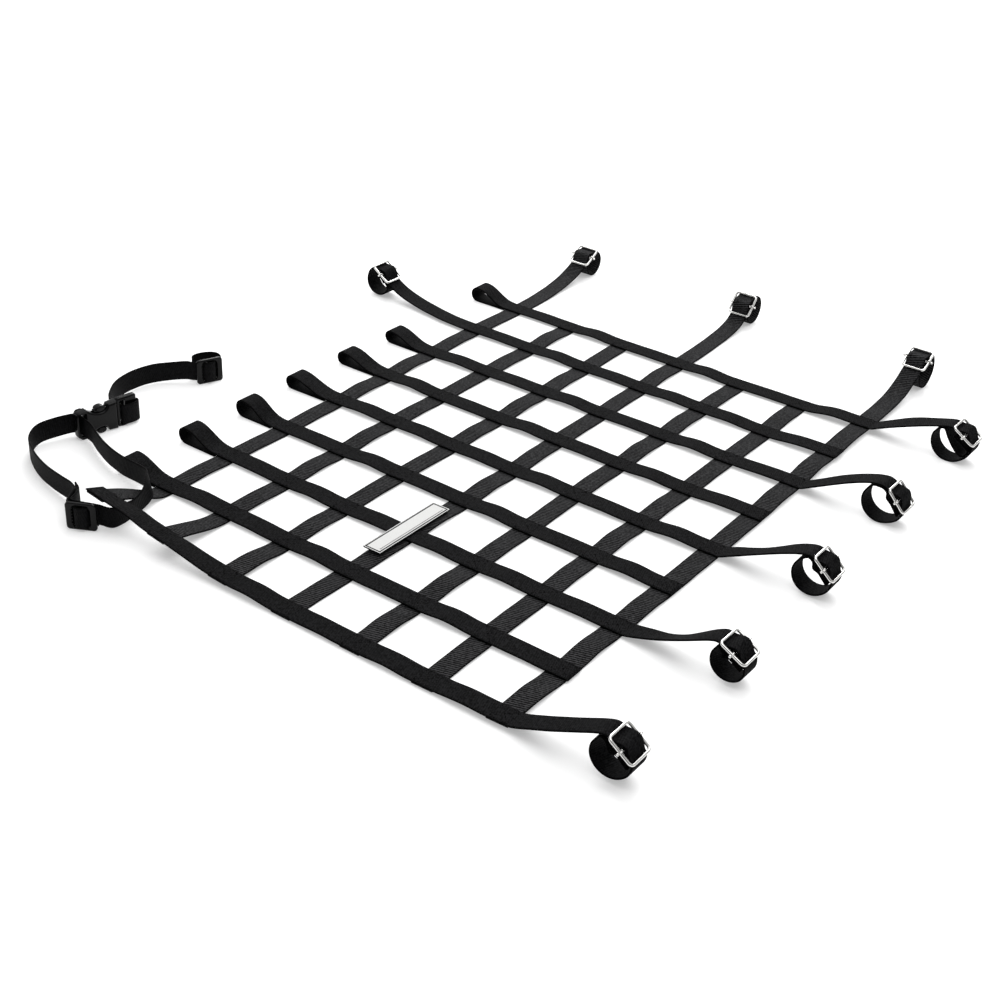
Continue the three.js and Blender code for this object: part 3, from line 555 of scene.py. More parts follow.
def webbing(name, strap, seed):
    """A closed woven band along the strap, with its run and place across as UV map."""
    ring = len(SECTION)
    slow, quick = WANDER_LENGTHS
    sway = np.sin(strap.run / slow + seed) * np.sin(strap.run / quick + 2 * seed)
    a = SECTION[None, :, 0] * (1 + WIDTH_WANDER / HALF * sway)[:, None]
    n = np.broadcast_to(SECTION[None, :, 1], a.shape)
    vertices = (
        strap.at[:, None, :]
        + a[:, :, None] * strap.across[:, None, :]
        + n[:, :, None] * strap.normal[:, None, :]
    ).reshape(-1, 3)
    vertices[:, 2] = np.maximum(vertices[:, 2], 0.0)
    obj = new_object(name, vertices, tube_faces(len(strap.at), ring))
    layer = obj.data.uv_layers.new(name="weave")
    corner = np.zeros(len(obj.data.loops), np.int32)
    obj.data.loops.foreach_get("vertex_index", corner)
    uv = np.stack([strap.run[corner // ring], SECTION[corner % ring, 0]], axis=1)
    layer.data.foreach_set("uv", (uv * UV_PER_MM).astype(np.float32).ravel())
    return obj


def flat_strap(rows):
    """A strap through rows of its middle point and its direction across."""
    fine = catmull(rows, STATION)
    return Strap(fine[:, :3], fine[:, 3:])


def long_strap(i):
    crossings = [cross_x(k + 1) for k in range(CROSS_COUNT)]

    def middle_z(k):
        apart = LAYER * hypot(1, corner_slope(i, k + 1), fall_at(i, k + 1))
        return rest_at(i, k + 1) + apart + (GAP / 2 if i == 1 else 0) + THICK / 2

    run = grid_run(
        crossings,
        middle_z,
        lambda k: fall_at(i, k + 1),
        lambda k: -atan(corner_slope(i, k + 1)),
        lambda k: arch_at(i, k),
    )
    left, right = tail_of("long", i, -1), tail_of("long", i, 1)
    if i in LOOPS:
        ends = loop_run(*LOOPS[i], middle_z(0))
        run = [(-EDGE_X - s, z, tilt) for s, z, tilt in ends] + run
    elif left:
        ends = tail_run(left, middle_z(0))
        run = [(-EDGE_X - s, z, tilt) for s, z, tilt in reversed(ends)] + run
    if right:
        ends = tail_run(right, middle_z(CROSS_COUNT - 1))
        run += [(EDGE_X + s, z, tilt) for s, z, tilt in ends]
    return flat_strap([
        (
            s, long_y(i) + sideways("long", i, s), z,
            -slant_at("long", i, s), cos(tilt), sin(tilt),
        )
        for s, z, tilt in run
    ])


def cross_strap(j):
    crossings = [long_y(k + 1) for k in range(LONG_COUNT)]

    def middle_z(k):
        return rest_at(k + 1, j) + THICK / 2

    run = grid_run(
        crossings,
        middle_z,
        lambda k: -corner_slope(k + 1, j),
        lambda k: fall_at(k + 1, j),
        lambda k: arch_at(k + CROSS_ARCH_SHIFT, j),
    )
    run[0] = (crossings[0] - TUCK, middle_z(0) + corner_slope(1, j) * TUCK, fall_at(1, j))
    tail = tail_of("cross", j, 1)
    if tail:
        ends = tail_run(tail, middle_z(LONG_COUNT - 1))
        run += [(EDGE_Y + s, z, tilt) for s, z, tilt in ends]
    else:
        run[-1] = (EDGE_Y + TUCK, run[-1][1], 0.0)
    return flat_strap([
        (cross_x(j) + sideways("cross", j, s), s, z, -1.0, slant_at("cross", j, s), -tilt)
        for s, z, tilt in run
    ])


def on_plan(place, u, v, z):
    """A point of a piece that stands on edge: u along it, v out of its front."""
    x, y, turn = place
    return (
        x + u * cos(turn) + v * sin(turn),
        y + u * sin(turn) - v * cos(turn),
        z,
    )


def matrix_of(axes, at):
    """The matrix of a piece with these axes, at a place in millimetres."""
    matrix = Matrix(axes).transposed().to_4x4()
    matrix.translation = Vector(at) * MM
    return matrix


def standing(place, height):
    """The matrix of such a piece: X along it, Y up, Z out of its front."""
    x, y, turn = place
    along = (cos(turn), sin(turn), 0)
    front = (sin(turn), -cos(turn), 0)
    return matrix_of((along, (0, 0, 1), front), (x, y, height))


def over_glide(place, z):
    left = [(-share, v) for share, v in reversed(GLIDE_WEAVE[1:])]
    return [on_plan(place, share * GLIDE_SPAN, v, z) for share, v in (*left, *GLIDE_WEAVE)]


def ring_strap_points():
    """Middle of the strap's width as (x, y, z), and how far its upper edge leans along X."""
    mid = HARDWARE_MID
    front = FRONT_GLIDE
    return [
        (-251.5, -291.2, 11), (-241.4, -296.4, 11.6), (-235, -304.8, 12.4),
        on_plan(front, -12, -9.8, mid), on_plan(front, -5, -8, mid),
        on_plan(front, 6, -6.6, mid), on_plan(front, 14, -6.6, 12),
        (-197, -300, 10.3), (-195, -289, 10.1, 0.08), (-195.5, -276, 10.8, 0.2),
        (-197.5, -263, 13.9), (-202.5, -252.5, 18.2, -0.36), (-210.5, -245.5, 17.4, -0.2),
        (-221, -240.8, 15.2, -0.06), (-235, -238.2, 13.6), (-256, -236, 12.5),
        (-283, -229.5, 12), (-305, -221, 12), (-322, -213.5, 12.3),
        on_plan(BUCKLE, 5.6, 5, 12.9), on_plan(BUCKLE, 5.6, -1, 13.1),
        on_plan(BUCKLE, 4.2, -7.5, 12.9),
        (-354, -227.5, 12.4), (-357.5, -245, 11.2), (-347.5, -262.5, 10.4),
        (-327, -275.6, 10.2), (-307.5, -283.6, 10.2), (-288, -288.8, 10.6),
        (-268, -292.2, 11.2), (-253, -294.6, 11.8), (-243.6, -299, 12.3), (-238.2, -307, mid),
        on_plan(front, -14.5, -7.5, mid),
        *over_glide(front, mid),
        on_plan(front, GLIDE_SPAN + 2.5, -3.4, mid),
    ]


def upper_strap_points():
    """Middle of the strap's width as (x, y, z), from the plug to its small loop."""
    mid = HARDWARE_MID
    plug = PLUG_SLOT[2] + HALF + 0.4
    by_plug = (
        (47.8, -1.4), (46.6, 1.4), (47.8, 4), (52, 5), (58, 5), (63, 3.8), (65.4, 0.6),
        (64.4, -2.8), (60.2, -4.4), (55, -4.9), (50, -7), (46.2, -11), (46, -16.5),
    )
    by_glide = (
        (14, -5.6), (15.2, -11.5), (13, -17.5), (6, -21.4), (-3, -22), (-10, -18.6), (-12, -12.4),
    )
    return [
        *(on_plan(BUCKLE, u, v, plug) for u, v in by_plug),
        (-353, -164, 12.6), (-361, -154.5, 13), (-368.5, -144, 12.4), (-375, -129, 11.6),
        (-377.5, -111, 11), (-374, -92, 11), (-362, -74.5, 11.6), (-350.5, -65.5, mid),
        on_plan(BACK_GLIDE, -15.5, -5.6, mid),
        *over_glide(BACK_GLIDE, mid),
        *(on_plan(BACK_GLIDE, u, v, mid) for u, v in by_glide),
    ]


def edge_strap(points):
    """A strap that stands on its edge."""
    fine = catmull([p if len(p) == 4 else (*p, 0.0) for p in points], EDGE_STATION)
    across = np.tile([0.0, 0.0, 1.0], (len(fine), 1))
    across[:, 0] = fine[:, 3]
    return Strap(fine[:, :3], across)


# Materials


def feed(tree, made, **sockets):
    """Links or sets a node's sockets; i0, i1 and so on are sockets by number."""
    for name, value in sockets.items():
        number = name[0] == "i" and name[1:].isdigit()
        socket = made.inputs[int(name[1:]) if number else name.replace("_", " ")]
        if isinstance(value, bpy.types.NodeSocket):
            tree.links.new(value, socket)
        else:
            socket.default_value = value


def node(tree, kind, **sockets):
    """A node with its settings and its sockets as in feed."""
    made = tree.nodes.new(kind)
    for setting in ("operation", "data_type", "uv_map"):
        if setting in sockets:
            setattr(made, setting, sockets.pop(setting))
    feed(tree, made, **sockets)
    return made


def maths(tree, operation, a, b=0.0, c=0.0):
    return node(tree, "ShaderNodeMath", operation=operation, i0=a, i1=b, i2=c).outputs[0]


def scaled(tree, value, by, plus):
    return maths(tree, "MULTIPLY_ADD", value, by, plus)


def noise(tree, scale, detail):
    """Noise that is fixed to the object."""
    place = node(tree, "ShaderNodeTexCoord").outputs["Object"]
    made = node(tree, "ShaderNodeTexNoise", Vector=place, Scale=scale, Detail=detail)
    return made.outputs[0]


def new_material(name):
    material = bpy.data.materials.new(name)
    material.use_nodes = True
    tree = material.node_tree
    return material, tree, tree.nodes["Principled BSDF"]


def colour_mix(tree, factor, low, high):
    ramp = node(tree, "ShaderNodeValToRGB", i0=factor)
    for element, colour in zip(ramp.color_ramp.elements, (low, high)):
        element.color = (*colour, 1)
    return ramp.outputs[0]


def surface(tree, shader, relief, **sockets):
    """The shader's sockets by name, and its relief as (height, strength, distance)."""
    height, strength, distance = relief
    bump = node(tree, "ShaderNodeBump", Height=height, Strength=strength, Distance=distance)
    feed(tree, shader, Normal=bump.outputs[0], **sockets)


def weave_coordinates(tree):
    """Run along the webbing and place across it, both in millimetres."""
    uv = node(tree, "ShaderNodeUVMap", uv_map="weave")
    split = node(tree, "ShaderNodeSeparateXYZ", i0=uv.outputs[0])
    return [maths(tree, "MULTIPLY", split.outputs[k], 1 / UV_PER_MM) for k in (0, 1)]


def wave(tree, value, period):
    """A smooth 0 to 1 wave of that period in millimetres."""
    angle = scaled(tree, value, 2 * pi / period, 0.0)
    return scaled(tree, maths(tree, "SINE", angle), 0.5, 0.5)


WARP = 1.1
SELVEDGE_FROM = 8.8


def webbing_material(
    name, low, high, depth, specular,
    rib=1.9, share=0.3, lean=0.3, sharp=1.0, fuzz=2.4, rough=0.82,
):
    """Woven polyester: leaning weft ribs, fine warp columns, fuzz and a dark selvedge."""
    material, tree, shader = new_material(name)
    run, across = weave_coordinates(tree)
    ribs = maths(tree, "POWER", wave(tree, scaled(tree, across, lean, run), rib), sharp)
    columns = maths(tree, "MULTIPLY", wave(tree, across, WARP), share)
    height = scaled(tree, ribs, 1 - share, columns)
    patches, fibres = noise(tree, 38.0, 3.0), noise(tree, 620.0, 3.0)
    soft = scaled(tree, patches, 0.4, 0.3 - 0.5 * depth)
    speckle = scaled(tree, fibres, fuzz, -0.5 * fuzz)
    worn = maths(tree, "ADD", scaled(tree, height, depth, soft), speckle)
    from_edge = maths(tree, "SUBTRACT", maths(tree, "ABSOLUTE", across), SELVEDGE_FROM)
    selvedge = maths(tree, "MULTIPLY", maths(tree, "MAXIMUM", from_edge, 0.0), 0.9)
    tone = maths(tree, "SUBTRACT", worn, selvedge)
    surface(
        tree, shader, (scaled(tree, fibres, 0.25, height), 0.6, 0.0004),
        Base_Color=colour_mix(tree, tone, low, high),
        Roughness=scaled(tree, height, -0.12, rough),
        Specular_IOR_Level=specular,
    )
    return material


def thread_material():
    """Bonded black sewing thread, dark with a light fleck here and there."""
    material, tree, shader = new_material("sewing_thread")
    twist = noise(tree, 520.0, 1.0)
    flecks = scaled(tree, twist, 3.4, -1.6)
    surface(
        tree, shader, (twist, 0.4, 0.0002),
        Base_Color=colour_mix(tree, flecks, (0.0002, 0.0002, 0.0003), (0.034, 0.034, 0.035)),
        Roughness=0.8,
        Specular_IOR_Level=0.01,
    )
    return material


def nickel_material():
    """Bright nickel plate, faintly brushed and a little dulled in patches."""
    material, tree, shader = new_material("nickel_plate")
    cloud = noise(tree, 160.0, 4.0)
    surface(
        tree, shader, (noise(tree, 1900.0, 2.0), 0.08, 0.0001),
        Base_Color=colour_mix(tree, cloud, (0.5, 0.495, 0.48), (0.78, 0.775, 0.76)),
        Metallic=1.0,
        Roughness=scaled(tree, cloud, 0.06, 0.03),
    )
    return material


def plastic_material():
    """Moulded black acetal: fine pebble, satin, and lighter on its convex edges as a painted
    highlight.
    """
    material, tree, shader = new_material("moulded_plastic")
    cloud = noise(tree, 70.0, 2.0)
    # Pointiness lightens the convex edges: a painted edge highlight.
    edge_highlight = node(tree, "ShaderNodeNewGeometry").outputs["Pointiness"]
    tone = scaled(tree, cloud, 0.35, scaled(tree, edge_highlight, 2.4, -0.95))
    surface(
        tree, shader, (noise(tree, 1500.0, 3.0), 0.12, 0.0001),
        Base_Color=colour_mix(tree, tone, (0.001, 0.001, 0.0011), (0.0045, 0.0045, 0.0048)),
        Roughness=scaled(tree, cloud, 0.14, 0.1),
        Specular_IOR_Level=0.13,
    )
    return material


def label_material():
    """White woven tape with painted shade along its edges, a plain dark frame line and a rule."""
    material, tree, shader = new_material("label_tape")
    run, across = weave_coordinates(tree)
    half_across, half_run = LABEL_SIZE[0] / 2, LABEL_SIZE[1] / 2
    from_end = maths(tree, "SUBTRACT", half_run, maths(tree, "ABSOLUTE", run))
    from_side = maths(tree, "SUBTRACT", half_across, maths(tree, "ABSOLUTE", across))
    inset = maths(tree, "MINIMUM", from_end, from_side)
    frame_line = maths(tree, "COMPARE", inset, *LABEL_LINE)
    rule = maths(tree, "COMPARE", across, half_across - LABEL_RULE[0], LABEL_RULE[1])
    rule = maths(tree, "MULTIPLY", rule, maths(tree, "GREATER_THAN", from_end, LABEL_RULE_END))
    # A dark band round the edge is painted shade on the label's rounded sides.
    edge_shade = maths(tree, "LESS_THAN", inset, LABEL_EDGE_SHADE)
    dark = maths(tree, "MAXIMUM", maths(tree, "MAXIMUM", frame_line, rule), edge_shade)
    columns = maths(tree, "MULTIPLY", wave(tree, across, 0.8), 0.5)
    height = scaled(tree, wave(tree, run, 0.9), 0.5, columns)
    white = colour_mix(tree, height, (0.42, 0.42, 0.415), (0.62, 0.62, 0.61))
    ink = (0.006, 0.006, 0.007, 1)
    mix = node(tree, "ShaderNodeMix", data_type="RGBA", Factor=dark, i6=white, i7=ink)
    surface(
        tree, shader, (height, 0.3, 0.0002),
        Base_Color=mix.outputs[2],
        Roughness=0.75,
        Specular_IOR_Level=0.12,
    )
    return material


LONG_CLOTH = webbing_material(
    "long_webbing", (0.0007, 0.0007, 0.0008), (0.0085, 0.0085, 0.0091),
    depth=0.35, specular=0.026, fuzz=4.0,
)
# Same webbing as the long straps: the lighter base colour and brighter ribs here are a painted
# sheen.
CROSS_CLOTH_PAINTED_SHEEN = webbing_material(
    "cross_webbing", (0.0006, 0.0006, 0.0007), (0.04, 0.04, 0.0415),
    depth=1.1, specular=0.03, rib=2.5, share=0.12, lean=0.28, sharp=1.8,
)
SIDE_CLOTH = webbing_material(
    "side_webbing", (0.0007, 0.0007, 0.0008), (0.0075, 0.0075, 0.0081),
    depth=0.4, specular=0.045, rough=0.7,
)
THREAD = thread_material()
NICKEL = nickel_material()
PLASTIC = plastic_material()
LABEL_TAPE = label_material()


def dress(obj, material, slot, *nodes):
    obj.data.materials.clear()
    obj.data.materials.append(material)
    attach(obj, "root")
    if nodes:
        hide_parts(*nodes)
    return obj


# The straps

NET_RESTS_ON = ["cross_strap_1", "cross_strap_4", "cross_strap_7"]


def cloth(name, node_name, strap, seed, material, slot, rests_on):
    piece = dress(webbing(name, strap, seed), material, slot, node_name)


long_straps = {i: long_strap(i) for i in range(1, LONG_COUNT + 1)}
for i, strap in long_straps.items():
    names = f"woven_long_{i}", f"long_strap_{i}"
    cloth(*names, strap, 1.7 * i, LONG_CLOTH, "long_webbing", NET_RESTS_ON)
for j in range(1, CROSS_COUNT + 1):
    names = f"woven_cross_{j}", f"cross_strap_{j}"
    cloth(*names, cross_strap(j), 2.9 * j + 0.4, CROSS_CLOTH_PAINTED_SHEEN, "cross_webbing", ["floor"])
for name, points, seed in (
    ("ring_strap", ring_strap_points(), 0.9),
    ("upper_strap", upper_strap_points(), 5.0),
):
    cloth(f"woven_{name}", name, edge_strap(points), seed, SIDE_CLOTH, "side_webbing", ["floor"])


# Sewing: a stitch is a bead with rings of (share along, size); seams box in each crossing

STITCH = 3.1
STITCH_GAP = 0.35
STITCH_WIDTH = 0.62
STITCH_RISE = 0.34
STITCH_SIDES = 6
STITCH_RINGS = ((0.16, 0.85), (0.5, 1.0), (0.84, 0.85))
STITCH_DIP = 0.1
STITCH_OFF = 0.02
BOX_HALF = 8.1
BOX_SEAMS = ((0, 1), (1, 2), (2, 3), (3, 0), (0, 2), (1, 3))
END_SEAM_INSET = 1.6
END_SEAM_HALF = 9.0


def stitch(start, end, up):
    """Vertices and faces of one bead of thread."""
    axis, around = end - start, STITCH_SIDES
    side = unit(np.cross(up, axis))
    vertices = [start - STITCH_DIP * up]
    for share, size in STITCH_RINGS:
        for c, s in circle(around):
            vertices.append(
                start + axis * share
                + side * c * STITCH_WIDTH / 2 * size + up * s * STITCH_RISE / 2 * size
            )
    vertices.append(end - STITCH_DIP * up)
    last = 1 + around * (len(STITCH_RINGS) - 1)
    faces = []
    for k in range(around):
        n = (k + 1) % around
        faces.append((0, 1 + n, 1 + k))
        for ring in range(1, last, around):
            faces.append((ring + k, ring + n, ring + around + n, ring + around + k))
        faces.append((last + k, last + n, last + around))
    return vertices, faces


def seam(strap, run0, a0, run1, a1):
    """A row of stitches on a strap's upper face, between two places (run, across)."""
    count = max(1, round(hypot(run1 - run0, a1 - a0) / STITCH))
    inset = STITCH_GAP / 2 / STITCH
    out = THICK / 2 + STITCH_OFF
    row = []
    for k in range(count):
        t = np.array([k + inset, k + 1 - inset]) / count
        runs, across = lerp(run0, run1, t), lerp(a0, a1, t)
        start, end = strap.place(runs, across, out)
        up = strap.place(runs[:1], across[:1], out + 1)[0] - start
        row.append(stitch(start, end, unit(up)))
    return row


def join_parts(parts):
    vertices, faces = [], []
    for v, f in parts:
        base = len(vertices)
        vertices += [tuple(p) for p in v]
        faces += [tuple(base + n for n in face) for face in f]
    return vertices, faces


stitches = []
for i, strap in long_straps.items():
    for j in range(1, CROSS_COUNT + 1):
        middle = strap.run[np.argmin(np.abs(strap.at[:, 0] - cross_x(j)))]
        corners = [(middle + u * BOX_HALF, v * BOX_HALF) for u, v in CORNERS]
        for a, b in BOX_SEAMS:
            stitches += seam(strap, *corners[a], *corners[b])
    if not tail_of("long", i, 1):
        end = strap.length - END_SEAM_INSET
        stitches += seam(strap, end, -END_SEAM_HALF, end, END_SEAM_HALF)
dress(new_object("box_stitching", *join_parts(stitches)), THREAD, "long_webbing")


# Hardware


def sweep(points, radius, sides, closed):
    """Vertices and faces of a round wire along points (in its own frame)."""
    p = np.array(points, float)
    if closed:
        along = unit(np.roll(p, -1, axis=0) - np.roll(p, 1, axis=0))
    else:
        along = unit(np.gradient(p, axis=0))
    normal = np.cross(along[0], [0.0, 0.0, 1.0])
    vertices = []
    for at, axis in zip(p, along):
        normal = unit(normal - axis * np.dot(normal, axis))
        other = np.cross(axis, normal)
        vertices += [at + radius * (c * normal + s * other) for c, s in circle(sides)]
    return vertices, tube_faces(len(p), sides, closed)


def rounded_rectangle(half_x, half_y, corner, steps, x=0.0, y=0.0):
    points = []
    for sx, sy, turn in ((1, 1, 0), (-1, 1, 1), (-1, -1, 2), (1, -1, 3)):
        for n in range(steps + 1):
            angle = pi / 2 * (turn + n / steps)
            points.append((
                x + sx * (half_x - corner) + corner * cos(angle),
                y + sy * (half_y - corner) + corner * sin(angle),
            ))
    return points


def densify(points, spacing):
    """Extra points along the straight sides of a closed outline."""
    out = []
    for k, p in enumerate(points):
        q = points[(k + 1) % len(points)]
        steps = max(1, ceil(dist(p, q) / spacing))
        out += [tuple(lerp(p[c], q[c], n / steps) for c in (0, 1)) for n in range(steps)]
    return out


def slide_matrix(tail):
    face = radians(tail.face)
    edge = EDGE_X if tail.run == "long" else EDGE_Y
    at = tail.end * (edge + tail.slide)
    side = sideways(tail.run, tail.strap, at)
    slant = slant_at(tail.run, tail.strap, at)
    if tail.run == "long":
        outward = Vector((tail.end, tail.end * slant, 0)).normalized()
        place = (at, long_y(tail.strap) + side, tail.rise)
    else:
        outward = Vector((slant, 1, 0)).normalized()
        place = (cross_x(tail.strap) + side, at, tail.rise)
    up = Vector((0, 0, 1))
    along = outward * sin(face) - up * cos(face)
    out = outward * cos(face) + up * sin(face)
    return matrix_of((along, out.cross(along), out), place)


def placed(obj, matrix):
    obj.data.transform(matrix)
    return obj


# End of the slide's bar, curled round the frame's side wire
EYE_WIRE = 0.62
EYE_STEPS = 16
EYE_SIDES = 10
EYE_TURN = 330
EYE_PLAY = 0.12
EYE_PITCH = 0.32


def ring_of_eye(side):
    points = []
    radius = (WIRE + EYE_OUTER) / 2 + EYE_PLAY
    for n in range(EYE_STEPS + 1):
        angle = pi + radians(EYE_TURN) * n / EYE_STEPS
        points.append((
            EYE_LENGTH * EYE_PITCH * (n / EYE_STEPS - 0.5),
            side * (SLIDE_HALF_WIDTH + radius * cos(angle)),
            radius * sin(angle),
        ))
    return points


# Turned knob at each end of the bar: reach past the frame's side, radius
KNOB = ((1.6, 0.6), (2.1, 1.12), (3.4, 1.2), (3.8, 0.98), (4.0, 0.5))
KNOB_SIDES = 12
BAR_PLAY = 0.55
BAR_STATIONS = 9
WIRE_SIDES = 14


def turned_knob(side):
    vertices = []
    for y, radius in sorted((side * (SLIDE_HALF_WIDTH + reach), r) for reach, r in KNOB):
        vertices += [(radius * s, y, radius * c) for c, s in circle(KNOB_SIDES)]
    return vertices, tube_faces(len(KNOB), KNOB_SIDES)


def metal(name, shape, matrix, node_name):
    dress(placed(new_object(name, *shape), matrix), NICKEL, "nickel_wire", node_name)


for tail in TAILS:
    label = f"{tail.run}_{tail.strap}"
    matrix = slide_matrix(tail)
    outline = rounded_rectangle(SLIDE_HALF_LENGTH, SLIDE_HALF_WIDTH, SLIDE_CORNER - WIRE, 8)
    loop = [(x, y, 0.0) for x, y in densify(outline, SLIDE_SPACING)]
    wire = sweep(loop, WIRE, WIRE_SIDES, True)
    metal(f"slide_wire_{label}", wire, matrix, f"slide_frame_{label}")
    reach = SLIDE_HALF_WIDTH - WIRE - BAR_PLAY
    bar = [(0.0, y, 0.0) for y in np.linspace(-reach, reach, BAR_STATIONS)]
    parts = [sweep(bar, BAR_RADIUS, WIRE_SIDES, False)]
    for side in (-1, 1):
        parts += [sweep(ring_of_eye(side), EYE_WIRE, EYE_SIDES, False), turned_knob(side)]
    metal(f"slide_crossbar_{label}", join_parts(parts), matrix, f"slide_bar_{label}")


MITRE_LEAST = 0.4


def offset_outline(points, by):
    """A closed outline moved to its left by that much, corner by corner."""
    p = np.array(points, float)
    edge = unit(np.roll(p, -1, axis=0) - p)
    left = np.stack([-edge[:, 1], edge[:, 0]], axis=1)
    before = np.roll(left, 1, axis=0)
    middle = unit(before + left)
    scale = 1 / np.maximum(MITRE_LEAST, np.sum(middle * before, axis=1))
    return p + middle * (by * scale)[:, None]


def moulded(outer, holes, thick, edge, steps=4):
    """A plate with rounded edges: outer outline anticlockwise, holes clockwise."""
    vertices, faces, caps = [], [], []
    heights = []
    for n in range(steps + 1):
        t = pi / 2 * n / steps
        heights.append((edge * (1 - sin(t)), -thick / 2 + edge * (1 - cos(t))))
    heights += [(inset, -z) for inset, z in reversed(heights)]
    for outline in [outer, *holes]:
        rings = []
        for inset, z in heights:
            rings.append(len(vertices))
            vertices += [(x, y, z) for x, y in offset_outline(outline, inset)]
        count = len(outline)
        for low, high in zip(rings, rings[1:]):
            for k in range(count):
                n = (k + 1) % count
                faces.append((low + k, low + n, high + n, high + k))
        caps.append((rings[0], rings[-1], count))
    for which, flip in ((0, True), (1, False)):
        loops = [[Vector(vertices[c[which] + k]) for k in range(c[2])] for c in caps]
        index = [c[which] + k for c in caps for k in range(c[2])]
        for triangle in tessellate_polygon(loops):
            a, b, c = (index[k] for k in triangle)
            pa, pb, pc = (np.array(vertices[k]) for k in (a, b, c))
            up = np.cross(pb - pa, pc - pa)[2] > 0
            faces.append((a, b, c) if up != flip else (a, c, b))
    return vertices, faces


def rounded_box(size, corner, at, segments=3):
    bm = bmesh.new()
    bmesh.ops.create_cube(bm, size=1.0)
    bmesh.ops.scale(bm, vec=Vector(size), verts=bm.verts)
    bmesh.ops.bevel(
        bm, geom=list(bm.edges), offset=corner, segments=segments, profile=0.5, affect="EDGES",
    )
    bmesh.ops.translate(bm, vec=Vector(at), verts=bm.verts)
    bm.verts.index_update()
    vertices = [tuple(v.co) for v in bm.verts]
    faces = [tuple(v.index for v in f.verts) for f in bm.faces]
    bm.free()
    return vertices, faces


def fuse(name, parts, cuts=()):
    """One closed mesh of overlapping parts, less the cuts."""
    base = new_object(name, *parts[0])
    for operation, shapes in (("UNION", parts[1:]), ("DIFFERENCE", cuts)):
        for shape in shapes:
            other = new_object("fuse_part", *shape)
            modifier = base.modifiers.new("fuse", "BOOLEAN")
            modifier.operation = operation
            modifier.solver = "EXACT"
            modifier.object = other
            graph = bpy.context.evaluated_depsgraph_get()
            mesh = bpy.data.meshes.new_from_object(base.evaluated_get(graph))
            base.modifiers.clear()
            base.data = mesh
            bpy.data.objects.remove(other)
    base.data.shade_smooth()
    return base


def smooth_by_angle(obj, degrees):
    """Faces meet smoothly below that angle and crisply above it."""
    bm = bmesh.new()
    bm.from_mesh(obj.data)
    limit = radians(degrees)
    for edge in bm.edges:
        edge.smooth = len(edge.link_faces) == 2 and edge.calc_face_angle(0.0) < limit
    bm.to_mesh(obj.data)
    bm.free()
    return obj


def plastic(obj, crease, place, height, node_name):
    placed(smooth_by_angle(obj, crease), standing(place, height))
    dress(obj, PLASTIC, "black_plastic", node_name)


def glide(name, place, node_name):
    outer = rounded_rectangle(GLIDE_LENGTH / 2, GLIDE_HEIGHT / 2, GLIDE_CORNER, 6)
    outer = densify(outer, GLIDE_SPACING)
    slot_at = (GLIDE_BAR + GLIDE_SLOT) / 2
    slot_half = GLIDE_SLOT_HEIGHT / 2 - GLIDE_SLOT_PLAY
    holes = []
    for u in (-slot_at, slot_at):
        hole = rounded_rectangle(GLIDE_SLOT / 2, slot_half, GLIDE_SLOT_CORNER, 6, u)
        hole = [(x, y * (1 - GLIDE_TAPER * max(0.0, abs(x) - GLIDE_TAPER_FROM))) for x, y in hole]
        holes.append(densify(hole, GLIDE_SPACING)[::-1])
    parts = [moulded(outer, holes, GLIDE_THICK, GLIDE_EDGE)]
    for n in range(GLIDE_TEETH):
        y = GLIDE_SLOT_HEIGHT * ((n + 0.5) / GLIDE_TEETH - 0.5) * GLIDE_TEETH_SPREAD
        at = (-slot_at - GLIDE_SLOT / 2 + 0.15, y, 0.35)
        parts.append(rounded_box(GLIDE_TOOTH, 0.35, at, 2))
    plastic(fuse(name, parts), GLIDE_CREASE, place, HARDWARE_MID, node_name)


glide("front_strap_glide", FRONT_GLIDE, "strap_glide_front")
glide("back_strap_glide", BACK_GLIDE, "strap_glide_back")


def curve_points(start, control, end, steps):
    """A quadratic curve without its first point."""
    return [bezier(n / steps, start, control, end) for n in range(1, steps + 1)]


def span(low, high):
    """Middle and half length."""
    return (low + high) / 2, (high - low) / 2


def socket_outline():
    """Anticlockwise: round slot end, hollows for the thumb buttons, flat mouth."""
    half = SOCKET_HEIGHT / 2
    waist = half - NOTCH_DEPTH
    fall, rise = (NOTCH_FROM + NOTCH_LOW) / 2, NOTCH_TO - 2
    lower = [(0.0, -half + 4.5)]
    lower += curve_points(lower[-1], (0.0, -half + 0.8), (3.5, -half + 0.8), 6)
    lower.append((NOTCH_FROM, -half))
    lower += curve_points(lower[-1], (fall, -waist), (NOTCH_LOW, -waist), 10)
    lower += curve_points(lower[-1], (rise, -waist), (NOTCH_TO, -half + 0.6), 8)
    lower.append((SOCKET_LENGTH, -half))
    return densify(lower + [(x, -y) for x, y in reversed(lower)], SOCKET_SPACING)


def release_socket():
    half = SOCKET_HEIGHT / 2
    slot_mid, slot_half = span(*SOCKET_SLOT[:2])
    slot = rounded_rectangle(slot_half, SOCKET_SLOT[2] / 2, 1.6, 5, slot_mid)
    slot = densify(slot, SOCKET_SPACING)[::-1]
    body = moulded(socket_outline(), [slot], SOCKET_THICK, SOCKET_EDGE, 6)
    cuts = []
    clear = 2 * GAP
    start = ARM_FROM - 2
    length = SOCKET_LENGTH - start + 1
    for side in (-1, 1):
        middle = side * (half - ARM_INSET - ARM_HEIGHT / 2)
        size = (length, ARM_HEIGHT + clear, ARM_THICK + clear)
        cuts.append(rounded_box(size, 0.25, (start + length / 2, middle, 0), 1))
    obj = fuse("buckle_socket", [body], cuts)
    plastic(obj, BUCKLE_CREASE, BUCKLE, half, "release_socket")


